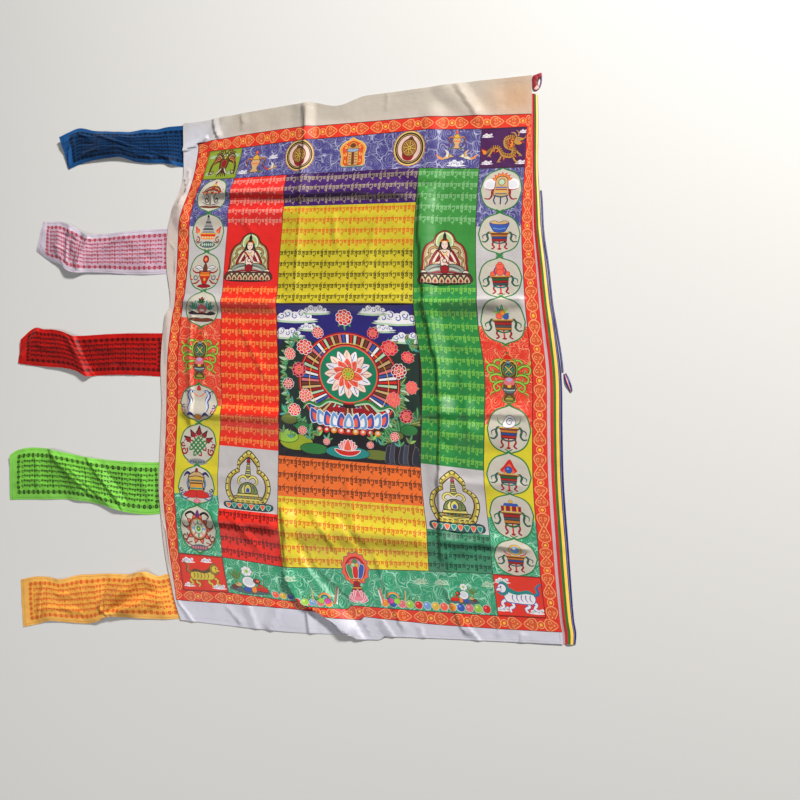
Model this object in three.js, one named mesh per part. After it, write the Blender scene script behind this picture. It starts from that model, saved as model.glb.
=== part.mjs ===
// A vertical prayer flag, opened out and lying on a surface, printed side up.
// Millimetres, +Z up. +X runs across the flag towards the ribboned pole edge and
// +Y runs up the flag. The surface that it lies on is Z = 0.
import * as THREE from 'three';

// ---- driving sizes -------------------------------------------------------------
const PANEL_WIDE = 816;       // the printed panel's cut, across, hems turned
const PANEL_LONG = 1080;      // and down
const SATIN = 1.2;            // how thick the panel is made
const STREAMER_CLOTH = 1.2;
const RIBBON_CLOTH = 1.2;
const RIBBON_WIDE = 30;       // flat width of the five-striped ribbon
const SEAM_LIFT = 1.62;       // the panel's sewn edges ride this high, over what is sewn under them
const SEAM_FLAT = 26;         // how far in from a sewn edge that height is kept
const SEAM_RAMP = 85;         // where the panel has come down to the surface again
const TIE_CLOTH = 1.0;
const TIE_WIDE = 4.4;
const TIE_CLEAR = 1.0;        // between the ribbon's edge and the tie that lies along it
const LOOP_THICK = 2.4;       // the ribbon lies double in the corner loop
const RIBBON_STARTS = 28;     // down the panel's edge, just below that loop
const LONGEST_STEP = 36;      // the cloth's facets are no longer than this, down the flag

// Where the panel lies. Each row is one line across the cut: how far down the cut it
// is, and where it meets the left edge, the inner line of the left column, the outer
// line of the middle field and the right edge.
const PANEL_ROWS = [
  // down  left_x left_y  column_x column_y  field_x field_y  right_x right_y
  [0,      -24, 1050,     119, 1052,         515, 1043,       728, 1034],
  [62,     -22,  993,     120, 1004,         511,  984,       726,  957],
  [89,     -21,  974,     120,  975,         509,  957,       725,  931],
  [161,    -22,  920,     102,  910,         504,  879,       723,  853],
  [229,    -43,  863,      89,  848,         497,  811,       722,  783],
  [275,    -55,  821,      87,  806,         493,  764,       721,  737],
  [349,    -57,  742,      81,  729,         490,  692,       724,  670],
  [433,    -45,  653,      77,  644,         489,  609,       728,  591],
  [471,    -57,  625,      76,  610,         492,  570,       731,  546],
  [563,    -65,  529,      76,  517,         503,  480,       737,  457],
  [656,    -60,  439,      81,  427,         503,  384,       735,  360],
  [738,    -61,  360,      76,  348,         499,  303,       734,  276],
  [824,    -62,  263,      74,  255,         504,  223,       736,  205],
  [863,    -59,  232,      78,  221,         509,  182,       738,  161],
  [948,    -44,  134,      87,  124,         512,  105,       741,   98],
  [1020,   -25,   59,     102,   55,         520,   32,       746,   27],
  [1043,   -19,   38,     107,   33,         523,    9,       749,    5],
  [1080,    -4,   -1,     113,   -9,         525,  -15,       750,  -15],
];
const LINES_ACROSS = [0, 155, 578, PANEL_WIDE];   // the cut's own places for those four lines
const COLUMNS = [0, 12, SEAM_FLAT, 55, SEAM_RAMP, 120, 155, 188, 220, 252, 285, 320, 355, 392, 430,
  467, 505, 540, 578, 600, 625, 662, 700, PANEL_WIDE - SEAM_RAMP, 765, PANEL_WIDE - SEAM_FLAT, 804, PANEL_WIDE];

// The dip in the top edge, where the margin has rolled a little.
const TOP_DIP = { middle: 394, reach: 66, deep: 14, fades_by: 62 };

// The panel's main folds, each a soft ridge along a line on the cut.
const FOLDS = [
  // from_across from_down  to_across to_down  reach  rise
  [70,   192,   600, 178,   38, 6],     // upper pressed crease
  [75,   246,   300, 240,   34, 5],     // the wave below it
  [90,   430,   730, 428,   36, 6],     // middle pressed crease
  [90,   674,   300, 682,   36, 6],     // lower pressed crease, left
  [560,  676,   730, 672,   36, 6],     // and right
  [150,  886,   650, 892,   36, 7],     // foot crease
  [600,   60,   612, 930,   34, 6],     // long crease beside the middle field
  [318,   10,   320, 430,   34, 4],     // fold line from the top margin down
  [302,  866,   300, 966,   32, 6],     // upright pleat at the foot
  [312,  925,   418, 1080,  38, 9],     // slanting pleat into the bottom margin
  [14,   226,    40, 268,   38, 8],     // the left margin lifts here
  [14,   478,    30, 560,   34, 5],     // and here
  [96,     0,    62, 60,    34, 4],     // the turned top left corner
  [620,    0,   690, 62,    32, 4],     // slanting crease in the top margin
];

// The streamers, from the sewn end under the margin to the free end. Each row: where
// its upper and its lower edge lie, and how high the upper edge, the middle and the
// lower edge are off the surface.
const STREAMERS = {
  streamer_blue: { colour: 0x2a63a0, rows: [
    // top_x top_y   low_x low_y   rise_top rise_mid rise_low
    [-8,  1044,     -1,  949,      0, 0, 0],
    [-28, 1046,    -21,  951,      0, 0, 0],
    [-63, 1048,    -51,  960,      0, 2, 3],
    [-91, 1047,    -71,  966,      0, 4, 1],
    [-121, 1050,  -106,  971,      2, 5, 1],
    [-157, 1049,  -142,  979,      4, 9, 2],
    [-186, 1053,  -178,  993,      5, 12, 5],
    [-217, 1059,  -215,  996,      4, 11, 4],
    [-252, 1066,  -252,  996,      2, 7, 3],
    [-293, 1079,  -289,  993,      1, 3, 0],
    [-317, 1071,  -305,  989,      6, 3, 0],
    [-341, 1061,  -318,  985,      9, 4, 0],
  ] },
  streamer_white: { colour: 0xe6d6df, rows: [
    [-42,  817,    -39,  715,      0, 0, 0],
    [-59,  818,    -56,  718,      0, 0, 0],
    [-101, 820,    -98,  720,      0, 2, 0],
    [-147, 821,   -143,  724,      2, 3, 0],
    [-198, 822,   -192,  731,      1, 3, 1],
    [-234, 822,   -231,  736,      4, 2, 2],
    [-259, 823,   -265,  739,      9, 6, 3],
    [-282, 838,   -283,  739,      3, 11, 8],
    [-312, 854,   -305,  746,      4, 3, 10],
    [-337, 864,   -327,  763,      1, 4, 5],
    [-364, 866,   -360,  776,      0, 2, 1],
    [-381, 869,   -397,  801,      0, 1, 0],
  ] },
  streamer_red: { colour: 0xa31512, rows: [
    [-50,  589,    -48,  494,      0, 0, 0],
    [-65,  589,    -65,  496,      0, 0, 0],
    [-119, 592,   -111,  501,      2, 1, 0],
    [-169, 595,   -166,  505,      1, 3, 1],
    [-220, 596,   -204,  506,      1, 1, 0],
    [-276, 597,   -236,  506,      1, 1, 1],
    [-288, 598,   -246,  505,      7, 8, 7],
    [-312, 608,   -274,  519,      5, 7, 6],
    [-339, 615,   -308,  527,      1, 4, 2],
    [-366, 618,   -348,  532,      0, 3, 1],
    [-393, 622,   -394,  538,      3, 2, 0],
    [-427, 598,   -434,  545,      4, 1, 0],
  ] },
  streamer_green: { colour: 0x86d94a, rows: [
    [-50,  317,    -45,  211,      0, 0, 0],
    [-67,  316,    -57,  210,      0, 0, 0],
    [-86,  316,    -88,  208,      1, 2, 0],
    [-130, 318,   -131,  212,      1, 3, 2],
    [-179, 322,   -161,  219,      0, 3, 6],
    [-214, 326,   -193,  227,      2, 7, 3],
    [-247, 331,   -226,  234,      2, 4, 1],
    [-281, 338,   -256,  238,      2, 7, 3],
    [-320, 346,   -292,  241,      7, 3, 0],
    [-344, 351,   -333,  241,      2, 2, 0],
    [-392, 354,   -386,  241,      1, 3, 0],
    [-427, 348,   -421,  241,      2, 2, 0],
    [-442, 338,   -438,  241,      4, 1, 0],
  ] },
  streamer_yellow: { colour: 0xe8a63a, rows: [
    [-14,   91,      7,   -3,      0, 0, 0],
    [-35,   89,     -9,    0,      0, 0, 0],
    [-60,   84,    -41,   -2,      1, 3, 0],
    [-89,   93,    -86,   -2,      7, 5, 1],
    [-127,  86,   -129,   -1,      3, 9, 2],
    [-156,  86,   -155,    0,      1, 6, 4],
    [-187,  86,   -179,   -2,      1, 3, 8],
    [-212,  84,   -198,  -11,      2, 4, 5],
    [-249,  82,   -225,  -17,      2, 3, 1],
    [-297,  72,   -283,  -16,      4, 3, 1],
    [-328,  76,   -321,  -15,      1, 4, 3],
    [-361,  76,   -351,  -23,      2, 2, 0],
    [-400,  69,   -388,  -30,      0, 0, 0],
  ] },
};
const STREAMER_STEPS = [0, 0.16, 0.33, 0.5, 0.67, 0.84, 1];   // across each streamer

// The striped ribbon: how much of it shows beyond the panel's edge at each place down
// the panel, how far it runs under the panel, and how high it bulges where it has
// curled narrower than its own width.
const RIBBON_ROWS = [
  // down  shows  under  bulge
  [28,     11,    9.0,   5.6],
  [89,     12,    9.0,   6.2],
  [161,    11,    9.0,   6.4],
  [229,    14,    8.5,   6.0],
  [275,    16,    7.5,   5.2],
  [349,    19,    6.0,   4.0],
  [433,    21,    5.5,   3.0],
  [471,    24,    4.0,   1.8],
  [563,    26.5,  3.0,   0.6],
  [656,    27,    3.0,   0.6],
  [738,    27,    3.0,   0.4],
  [824,    27,    3.0,   0.6],
  [863,    27,    3.0,   1.2],
  [948,    26,    3.5,   1.4],
  [1020,   24,    4.0,   2.2],
  [1043,   24,    4.0,   2.4],
  [1080,   21,    5.0,   3.0],
];

// The tie that lies free beside the ribbon from its sewn point up, and the short end
// that sticks out below that point. Rows run from the sewn point to the free end.
const TIE_UPPER = { from_down: 556, to_down: 205, steps: 16 };
const TIE_LOWER = [
  // x     y      wide  rise
  [769.2, 458.5,  5.0,  0.0],
  [771.6, 451.0,  7.6,  0.6],
  [774.4, 442.0,  8.4,  1.6],
  [777.2, 433.0,  7.4,  1.2],
  [779.4, 425.0,  4.6,  0.4],
];

// The small loop at the top right corner, a flat turn of the ribbon: matching places
// on its outside and on its eye, all the way round.
const LOOP = [
  // out_x  out_y    eye_x  eye_y
  [729.0, 1032.0,   737.6, 1022.3],
  [736.0, 1034.6,   740.0, 1025.2],
  [741.8, 1036.2,   742.2, 1026.8],
  [746.4, 1036.0,   743.4, 1026.6],
  [747.6, 1028.4,   743.9, 1022.9],
  [747.2, 1020.0,   743.5, 1018.4],
  [745.4, 1012.4,   742.2, 1013.9],
  [742.2, 1006.4,   740.2, 1010.6],
  [737.4, 1002.2,   738.4, 1010.0],
  [732.6, 1001.6,   737.0, 1011.4],
  [728.6, 1006.0,   736.4, 1014.6],
  [728.4, 1018.4,   736.8, 1018.8],
];

// ---- working functions ---------------------------------------------------------
const mix = (a, b, f) => a + (b - a) * f;
const clamp01 = (v) => Math.min(1, Math.max(0, v));
const ease = (v) => { const c = clamp01(v); return c * c * (3 - 2 * c); };

// A smooth curve through rows[.][column], read at place v of column 0.
function through(rows, column, v) {
  let i = 0;
  while (i < rows.length - 2 && v > rows[i + 1][0]) i++;
  const x = (n) => rows[n][0];
  const y = (n) => rows[n][column];
  const slope = (n) => {
    if (n === 0) return (y(1) - y(0)) / (x(1) - x(0));
    if (n === rows.length - 1) return (y(n) - y(n - 1)) / (x(n) - x(n - 1));
    return (y(n + 1) - y(n - 1)) / (x(n + 1) - x(n - 1));
  };
  const h = x(i + 1) - x(i);
  const f = clamp01((v - x(i)) / h);
  const f2 = f * f;
  const f3 = f2 * f;
  return y(i) * (2 * f3 - 3 * f2 + 1) + h * slope(i) * (f3 - 2 * f2 + f)
    + y(i + 1) * (3 * f2 - 2 * f3) + h * slope(i + 1) * (f3 - f2);
}

// Where a point of the panel's cut lies.
function panelPlace(across, down) {
  let k = 0;
  while (k < LINES_ACROSS.length - 2 && across > LINES_ACROSS[k + 1]) k++;
  const f = (across - LINES_ACROSS[k]) / (LINES_ACROSS[k + 1] - LINES_ACROSS[k]);
  const at = (line, axis) => through(PANEL_ROWS, 1 + 2 * line + axis, down);
  const x = mix(at(k, 0), at(k + 1, 0), f);
  let y = mix(at(k, 1), at(k + 1, 1), f);
  const off = Math.abs(across - TOP_DIP.middle) / TOP_DIP.reach;
  if (off < 1 && down < TOP_DIP.fades_by) {
    y -= TOP_DIP.deep * (0.5 + 0.5 * Math.cos(Math.PI * off)) * (1 - down / TOP_DIP.fades_by);
  }
  return [x, y];
}

// How high the panel's underside is there.
function panelRise(across, down) {
  let z = 0;
  for (const [a0, d0, a1, d1, reach, rise] of FOLDS) {
    const la = a1 - a0;
    const ld = d1 - d0;
    const f = clamp01(((across - a0) * la + (down - d0) * ld) / (la * la + ld * ld));
    const far = Math.hypot(across - a0 - f * la, down - d0 - f * ld) / reach;
    if (far < 1) z = Math.max(z, rise * (0.5 + 0.5 * Math.cos(Math.PI * far)));
  }
  const edge = Math.min(across, PANEL_WIDE - across);
  const seam = SEAM_LIFT * (1 - ease((edge - SEAM_FLAT) / (SEAM_RAMP - SEAM_FLAT)));
  return edge <= SEAM_FLAT ? SEAM_LIFT + z : Math.max(seam, z);
}

// A closed sheet: grid[row][column] holds [x, y, z] of its underside, rows going down
// the cloth and columns across it, and the upper side is thick above that.
function sheet(grid, thick) {
  const rows = grid.length;
  const columns = grid[0].length;
  const place = [];
  for (const lift of [0, thick]) {
    for (const row of grid) for (const [x, y, z] of row) place.push(x, y, z + lift);
  }
  const at = (r, c, top) => (top ? rows * columns : 0) + r * columns + c;
  const index = [];
  const four = (a, b, c, d) => index.push(a, b, c, a, c, d);
  for (let r = 0; r + 1 < rows; r++) {
    for (let c = 0; c + 1 < columns; c++) {
      four(at(r, c, 1), at(r + 1, c, 1), at(r + 1, c + 1, 1), at(r, c + 1, 1));
      four(at(r, c, 0), at(r, c + 1, 0), at(r + 1, c + 1, 0), at(r + 1, c, 0));
    }
  }
  for (let c = 0; c + 1 < columns; c++) {
    four(at(0, c, 0), at(0, c, 1), at(0, c + 1, 1), at(0, c + 1, 0));
    four(at(rows - 1, c, 0), at(rows - 1, c + 1, 0), at(rows - 1, c + 1, 1), at(rows - 1, c, 1));
  }
  for (let r = 0; r + 1 < rows; r++) {
    four(at(r, 0, 0), at(r + 1, 0, 0), at(r + 1, 0, 1), at(r, 0, 1));
    four(at(r, columns - 1, 0), at(r, columns - 1, 1), at(r + 1, columns - 1, 1), at(r + 1, columns - 1, 0));
  }
  const geometry = new THREE.BufferGeometry();
  geometry.setAttribute('position', new THREE.Float32BufferAttribute(place, 3));
  geometry.setIndex(index);
  geometry.computeVertexNormals();
  return geometry;
}

// A closed flat ring: each row holds a place on its outside and one on its eye, in
// order round it, and it lies from z = 0 up to thick.
function ringSheet(rows, thick) {
  const place = [];
  for (const z of [0, thick]) for (const [ox, oy, ex, ey] of rows) place.push(ox, oy, z, ex, ey, z);
  const turns = rows.reduce((sum, [x, y], n) => {
    const [nx, ny] = rows[(n + 1) % rows.length];
    return sum + x * ny - nx * y;
  }, 0) > 0;
  const index = [];
  const four = (a, b, c, d) => (turns ? index.push(a, b, c, a, c, d) : index.push(a, c, b, a, d, c));
  for (let n = 0; n < rows.length; n++) {
    const m = (n + 1) % rows.length;
    const [o, e, p, q] = [2 * n, 2 * n + 1, 2 * m, 2 * m + 1];
    const up = 2 * rows.length;
    four(o + up, p + up, q + up, e + up);
    four(o, e, q, p);
    four(o, p, p + up, o + up);
    four(e, e + up, q + up, q);
  }
  const geometry = new THREE.BufferGeometry();
  geometry.setAttribute('position', new THREE.Float32BufferAttribute(place, 3));
  geometry.setIndex(index);
  geometry.computeVertexNormals();
  return geometry;
}

// The places down the panel where its facets meet, finer than its rows.
const STATIONS = [];
PANEL_ROWS.forEach((row, n) => {
  const next = PANEL_ROWS[n + 1];
  if (!next) { STATIONS.push(row[0]); return; }
  const parts = Math.ceil((next[0] - row[0]) / LONGEST_STEP);
  for (let p = 0; p < parts; p++) STATIONS.push(mix(row[0], next[0], p / parts));
});

// ---- the pieces ----------------------------------------------------------------
const flag = new THREE.Group();
function add(name, geometry, colour, roughness) {
  const mesh = new THREE.Mesh(geometry, new THREE.MeshStandardMaterial({ color: colour, roughness, metalness: 0 }));
  mesh.name = name;
  flag.add(mesh);
}

// The panel, from its top margin's edge to its bottom margin's edge.
add('flag_panel', sheet(STATIONS.map((down) => COLUMNS.map((across) => {
  const [x, y] = panelPlace(across, down);
  return [x, y, panelRise(across, down)];
})), SATIN), 0xd9482e, 0.45);

// The streamers. Their rows run away from the panel, so that across runs down.
for (const [name, { colour, rows }] of Object.entries(STREAMERS)) {
  const grid = rows.map(([tx, ty, lx, ly, rt, rm, rl]) => STREAMER_STEPS.map((f) => {
    const z = rt * (1 - f) * (1 - 2 * f) + 4 * rm * f * (1 - f) + rl * f * (2 * f - 1);
    return [mix(tx, lx, f), mix(ty, ly, f), Math.max(0, z)];
  }));
  add(name, sheet(grid, STREAMER_CLOTH), colour, 0.5);
}

// The ribbon, its inner edge under the panel and its outer edge on the surface.
const ribbonAt = (down) => [1, 2, 3].map((column) => through(RIBBON_ROWS, column, down));
function outward(down) {
  const [ax, ay] = panelPlace(PANEL_WIDE - 60, down);
  const [bx, by] = panelPlace(PANEL_WIDE, down);
  const long = Math.hypot(bx - ax, by - ay);
  return [(bx - ax) / long, (by - ay) / long];
}
const ribbonStations = [RIBBON_STARTS, ...STATIONS.filter((down) => down > RIBBON_STARTS + 4)];
add('edge_ribbon', sheet(ribbonStations.map((down) => {
  const [shows, under, bulge] = ribbonAt(down);
  const [ox, oy] = outward(down);
  const [ex, ey] = panelPlace(PANEL_WIDE, down);
  const points = [[-under, 0], [1.2, 0]];
  for (const f of [0.25, 0.5, 0.75, 1]) points.push([1.2 + (shows - 1.2) * f, bulge * Math.sin(Math.PI * f)]);
  return points.map(([out, z]) => [ex + out * ox, ey + out * oy, Math.max(0, z)]);
}), RIBBON_CLOTH), 0xd23a2c, 0.6);

// The corner loop, a flat ring.
add('corner_loop', ringSheet(LOOP, LOOP_THICK), 0xc9313a, 0.6);

// The long free tie, just outside the ribbon's edge.
const tieGrid = [];
for (let n = 0; n <= TIE_UPPER.steps; n++) {
  const down = mix(TIE_UPPER.from_down, TIE_UPPER.to_down, n / TIE_UPPER.steps);
  const [shows] = ribbonAt(down);
  const [ox, oy] = outward(down);
  const [ex, ey] = panelPlace(PANEL_WIDE, down);
  const near = shows + TIE_CLEAR;
  tieGrid.push([near, near + TIE_WIDE].map((out) => [ex + out * ox, ey + out * oy, 0]));
}
tieGrid.reverse();
add('tie_upper', sheet(tieGrid, TIE_CLOTH), 0x6a5fb0, 0.6);

// The short tie end.
add('tie_lower', sheet(TIE_LOWER.map(([x, y, wide, rise], n) => {
  const before = TIE_LOWER[Math.max(0, n - 1)];
  const after = TIE_LOWER[Math.min(TIE_LOWER.length - 1, n + 1)];
  const dx = after[0] - before[0];
  const dy = after[1] - before[1];
  const long = Math.hypot(dx, dy);
  return [-0.5, 0.5].map((side) => [x - side * wide * dy / long, y + side * wide * dx / long, rise]);
}), TIE_CLOTH), 0x2a2a78, 0.6);

// The frame: the origin is under the middle of everything, on the surface.
const bounds = new THREE.Box3().setFromObject(flag);
const middle = bounds.getCenter(new THREE.Vector3());
flag.position.set(-middle.x, -middle.y, -bounds.min.z);
flag.updateMatrixWorld(true);

export default flag;
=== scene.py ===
"""A vertical prayer flag, laid out flat with its printed side up: one printed satin
panel, five printed streamers, a striped ribbon, a corner loop and two short ties.

Sizes are in millimetres on the cut and on the floor plan, and become metres when a
mesh is made. On the cut, "across" runs from the streamer edge to the pole edge and
"down" from the top margin to the bottom margin."""

import math

import bmesh
import bpy
import numpy as np
from mathutils import Matrix, Vector
from mathutils.geometry import delaunay_2d_cdt


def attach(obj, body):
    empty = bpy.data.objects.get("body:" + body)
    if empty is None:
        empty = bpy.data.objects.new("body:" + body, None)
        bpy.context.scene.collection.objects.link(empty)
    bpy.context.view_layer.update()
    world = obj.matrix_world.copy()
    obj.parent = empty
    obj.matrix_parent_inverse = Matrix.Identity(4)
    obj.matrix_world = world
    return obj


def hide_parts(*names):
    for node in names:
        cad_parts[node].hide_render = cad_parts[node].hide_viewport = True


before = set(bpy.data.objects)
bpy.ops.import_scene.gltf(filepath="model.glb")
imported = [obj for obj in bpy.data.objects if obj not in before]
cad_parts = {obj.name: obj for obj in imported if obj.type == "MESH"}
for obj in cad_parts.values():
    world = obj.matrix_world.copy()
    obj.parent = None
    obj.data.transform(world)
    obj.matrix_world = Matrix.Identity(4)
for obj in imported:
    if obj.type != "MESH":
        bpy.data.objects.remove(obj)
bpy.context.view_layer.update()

# ---- sizes ---------------------------------------------------------------------
WIDE, LONG = 816.0, 1080.0        # the panel's cut
THICK = 0.5                       # how thick the satin is drawn
CLEAR = 0.08                      # its underside is this far off the floor
STEP = 6.0                        # the panel's faces are about this size
MIDDLE = (169.8088, 524.5)        # the plan's point that is the frame's origin
SEAM_LIFT, SEAM_FLAT, SEAM_RAMP = 1.62, 26.0, 85.0
FALL = 1.7                        # how much steeper than the mesh the folds are shaded

# Lines across the cut that the print follows, and where each row down the cut lies
# on the floor plan at those lines.
LINES = [0, 28, 55, 155, 285, 578, 700, 790, 816]
ROWS = [
    # down  then x, y on the plan at each of the nine lines
    (0, -24, 1050, 16, 1047, 45, 1049, 119, 1052, 227, 1053, 515, 1043, 634, 1040, 724, 1034, 728, 1034),
    (62, -22, 993, 16, 997, 44, 1001, 120, 1004, 226, 1003, 511, 984, 631, 969, 721, 958, 726, 957),
    (89, -21, 974, 14, 975, 44, 977, 120, 975, 226, 973, 509, 957, 630, 941, 719, 932, 725, 931),
    (161, -22, 920, 2, 918, 26, 916, 102, 910, 222, 902, 504, 879, 623, 863, 712, 854, 723, 853),
    (229, -43, 863, -18, 860, 3, 858, 89, 848, 216, 835, 497, 811, 617, 796, 704, 785, 722, 783),
    (275, -55, 821, -29, 818, -2, 816, 87, 806, 212, 792, 493, 764, 614, 749, 701, 739, 721, 737),
    (349, -57, 742, -32, 739, -4, 737, 81, 729, 206, 717, 490, 692, 612, 680, 701, 672, 724, 670),
    (433, -45, 653, -37, 653, -13, 651, 77, 644, 202, 632, 489, 609, 613, 599, 703, 593, 728, 591),
    (471, -57, 625, -41, 623, -19, 621, 76, 610, 202, 597, 492, 570, 614, 557, 706, 549, 731, 546),
    (563, -65, 529, -51, 528, -25, 526, 76, 517, 206, 504, 503, 480, 624, 468, 712, 459, 737, 457),
    (656, -60, 439, -52, 439, -22, 436, 81, 427, 210, 415, 503, 384, 622, 371, 709, 363, 735, 360),
    (738, -61, 360, -52, 360, -23, 357, 76, 348, 208, 333, 499, 303, 618, 287, 707, 278, 734, 276),
    (824, -62, 263, -55, 263, -26, 261, 74, 255, 207, 245, 504, 223, 622, 214, 709, 207, 736, 205),
    (863, -59, 232, -54, 232, -22, 230, 78, 221, 208, 208, 509, 182, 626, 171, 712, 163, 738, 161),
    (948, -44, 134, -36, 133, -12, 131, 87, 124, 219, 107, 512, 105, 630, 102, 715, 98, 741, 98),
    (1020, -25, 59, -22, 59, 1, 57, 102, 55, 228, 43, 520, 32, 638, 29, 722, 28, 746, 27),
    (1043, -19, 38, -19, 38, 5, 36, 107, 33, 231, 28, 523, 9, 641, 6, 725, 5, 749, 5),
    (1080, -4, -1, -4, -1, 17, -3, 113, -9, 237, -16, 525, -15, 642, -15, 726, -15, 750, -15),
]
TOP_DIP = dict(middle=394, reach=66, deep=14, fades_by=62)

# The broad folds that the cloth keeps from its packing. Each is a line on the cut.
FOLDS = [
    # across0 down0 across1 down1 reach rise
    (70, 192, 600, 178, 38, 5.0),
    (75, 246, 300, 240, 34, 4.0),
    (90, 430, 730, 428, 36, 5.0),
    (90, 674, 300, 682, 36, 5.0),
    (560, 676, 730, 672, 36, 5.0),
    (150, 886, 650, 892, 36, 5.5),
    (600, 60, 612, 930, 34, 4.5),
    (318, 10, 320, 430, 34, 3.5),
    (302, 866, 300, 966, 32, 5.0),
    (312, 925, 418, 1080, 38, 6.5),
    (14, 226, 40, 268, 38, 7.0),
    (14, 478, 30, 560, 34, 4.0),
    (96, 0, 62, 60, 34, 3.5),
    (620, 0, 690, 62, 32, 3.5),
]

# The creases on them: crisp soft-edged ridges (rise above 0) and troughs (below 0).
# "first" is how far the flank reaches on the line's left, or above a line that runs
# across, and "second" on its other side.
CREASES = [
    # first second rise fade   points (across, down)
    (26, 14, 4.8, 50, [(60, 198), (155, 197), (297, 202), (434, 205), (575, 212)]),
    (10, 26, -2.8, 50, [(60, 213), (155, 212), (297, 218), (434, 221), (575, 228)]),
    (12, 10, -2.0, 40, [(330, 168), (450, 172), (570, 180)]),
    (10, 16, -1.4, 60, [(575, 218), (702, 223), (793, 227)]),
    (16, 25, 4.2, 30, [(35, 431), (174, 433), (301, 433)]),
    (22, 14, 1.8, 30, [(301, 433), (430, 432), (579, 429)]),
    (8, 30, 4.4, 24, [(579, 431), (686, 426), (800, 424)]),
    (14, 24, -1.6, 30, [(690, 452), (806, 446)]),
    (30, 15, 3.2, 34, [(48, 676), (174, 673), (293, 671), (350, 669)]),
    (34, 12, 3.0, 34, [(540, 648), (581, 645), (691, 638), (800, 634)]),
    (10, 10, -1.6, 30, [(570, 612), (700, 604)]),
    (30, 13, 3.8, 30, [(50, 892), (165, 885), (292, 883)]),
    (34, 24, 2.4, 30, [(286, 883), (409, 884), (583, 880)]),
    (30, 15, 3.2, 30, [(583, 880), (700, 884), (790, 886)]),
    (7, 26, 3.2, 26, [(321, -12), (323, 87), (320, 156), (322, 232)]),
    (6, 12, 1.2, 40, [(322, 232), (323, 330), (321, 425)]),
    (6, 32, 3.6, 24, [(583, 190), (587, 267), (599, 429), (611, 571), (614, 640), (615, 739), (608, 850), (603, 935)]),
    (14, 5, 3.0, 24, [(86, 440), (84, 487), (85, 559), (88, 640), (87, 711)]),
    (8, 40, 7.6, 22, [(283, 950), (313, 1012), (371, 1050), (410, 1090)]),
    (9, 12, -3.0, 24, [(325, 905), (345, 948), (403, 1009), (446, 1086)]),
    (7, 26, 4.6, 30, [(296, 836), (298, 900), (290, 958)]),
    (8, 16, 2.2, 12, [(62, -8), (70, 34), (84, 66)]),
    (16, 5, 4.6, 8, [(-8, 73), (20, 65), (54, 53)]),
    (10, 22, 1.3, 20, [(148, -8), (156, 30), (150, 58)]),
    (9, 20, 1.5, 16, [(640, -8), (664, 26), (694, 66)]),
    (8, 14, 1.0, 16, [(504, -8), (500, 50)]),
    (12, 20, -1.2, 20, [(742, -6), (752, 54)]),
    (4, 12, 1.4, 12, [(2, 150), (20, 190), (8, 236)]),
    (4, 8, 1.2, 12, [(2, 300), (26, 330), (22, 380)]),
    (4, 8, 1.2, 12, [(2, 640), (24, 690), (20, 760)]),
    (5, 8, 1.4, 12, [(2, 880), (24, 912), (22, 980)]),
    (7, 10, 1.4, 20, [(8, 118), (22, 176), (6, 226)]),
    # the foot
    (15, 6, 1.7, 12, [(30, 1036), (70, 1090)]),
    (12, 5, 1.1, 10, [(140, 1046), (178, 1078)]),
    (18, 8, 1.3, 12, [(192, 1034), (204, 1064), (214, 1090)]),
    (22, 7, 2.2, 14, [(268, 1030), (256, 1060), (234, 1090)]),
    (7, 16, 2.2, 12, [(323, 1036), (326, 1090)]),
    (10, 16, -1.6, 12, [(356, 1052), (372, 1090)]),
    (18, 7, 1.5, 12, [(470, 1036), (500, 1090)]),
    (14, 5, 1.2, 12, [(548, 1044), (556, 1088)]),
    (16, 7, 1.5, 12, [(636, 1034), (664, 1090)]),
    (5, 12, 1.0, 12, [(742, 1044), (736, 1090)]),
    # the small ones in the field
    (16, 20, -1.4, 40, [(160, 350), (285, 345)]),
    (20, 20, 1.2, 50, [(620, 500), (700, 520)]),
    (20, 24, 1.5, 50, [(330, 560), (560, 540)]),
    (16, 22, 1.4, 40, [(60, 790), (285, 800)]),
    (14, 24, 1.6, 40, [(600, 770), (806, 760)]),
    (8, 16, 1.6, 30, [(470, 905), (520, 1078)]),
    (8, 16, 1.8, 30, [(600, 960), (640, 1078)]),
    (5, 16, 1.4, 26, [(700, 1000), (690, 1078)]),
    (14, 18, 1.4, 40, [(430, 760), (440, 900)]),
    (12, 20, 1.0, 30, [(180, 250), (230, 300)]),
    (12, 10, 1.5, 34, [(400, 232), (414, 330)]),
    (10, 16, 1.2, 34, [(500, 240), (470, 420)]),
    (8, 12, 1.4, 30, [(580, 190), (640, 178)]),
    (9, 14, 1.3, 30, [(192, 470), (262, 600)]),
    (12, 18, 1.5, 36, [(650, 540), (676, 700)]),
    (10, 12, 1.4, 30, [(340, 832), (410, 930)]),
    (8, 16, -1.6, 30, [(392, 826), (470, 946)]),
    (10, 14, 1.4, 30, [(176, 868), (256, 940)]),
]


def rgb(r, g, b):
    """A colour given as it looks on a screen, as linear light."""
    return tuple(c / 12.92 if c <= 0.04045 else ((c + 0.055) / 1.055) ** 2.4 for c in (r / 255, g / 255, b / 255))


# ---- how the panel lies ----------------------------------------------------------
DOWNS = np.array([r[0] for r in ROWS], float)
ACROSS = np.array(LINES, float)
PLAN = np.array([r[1:] for r in ROWS], float).reshape(len(ROWS), len(LINES), 2)


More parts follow.
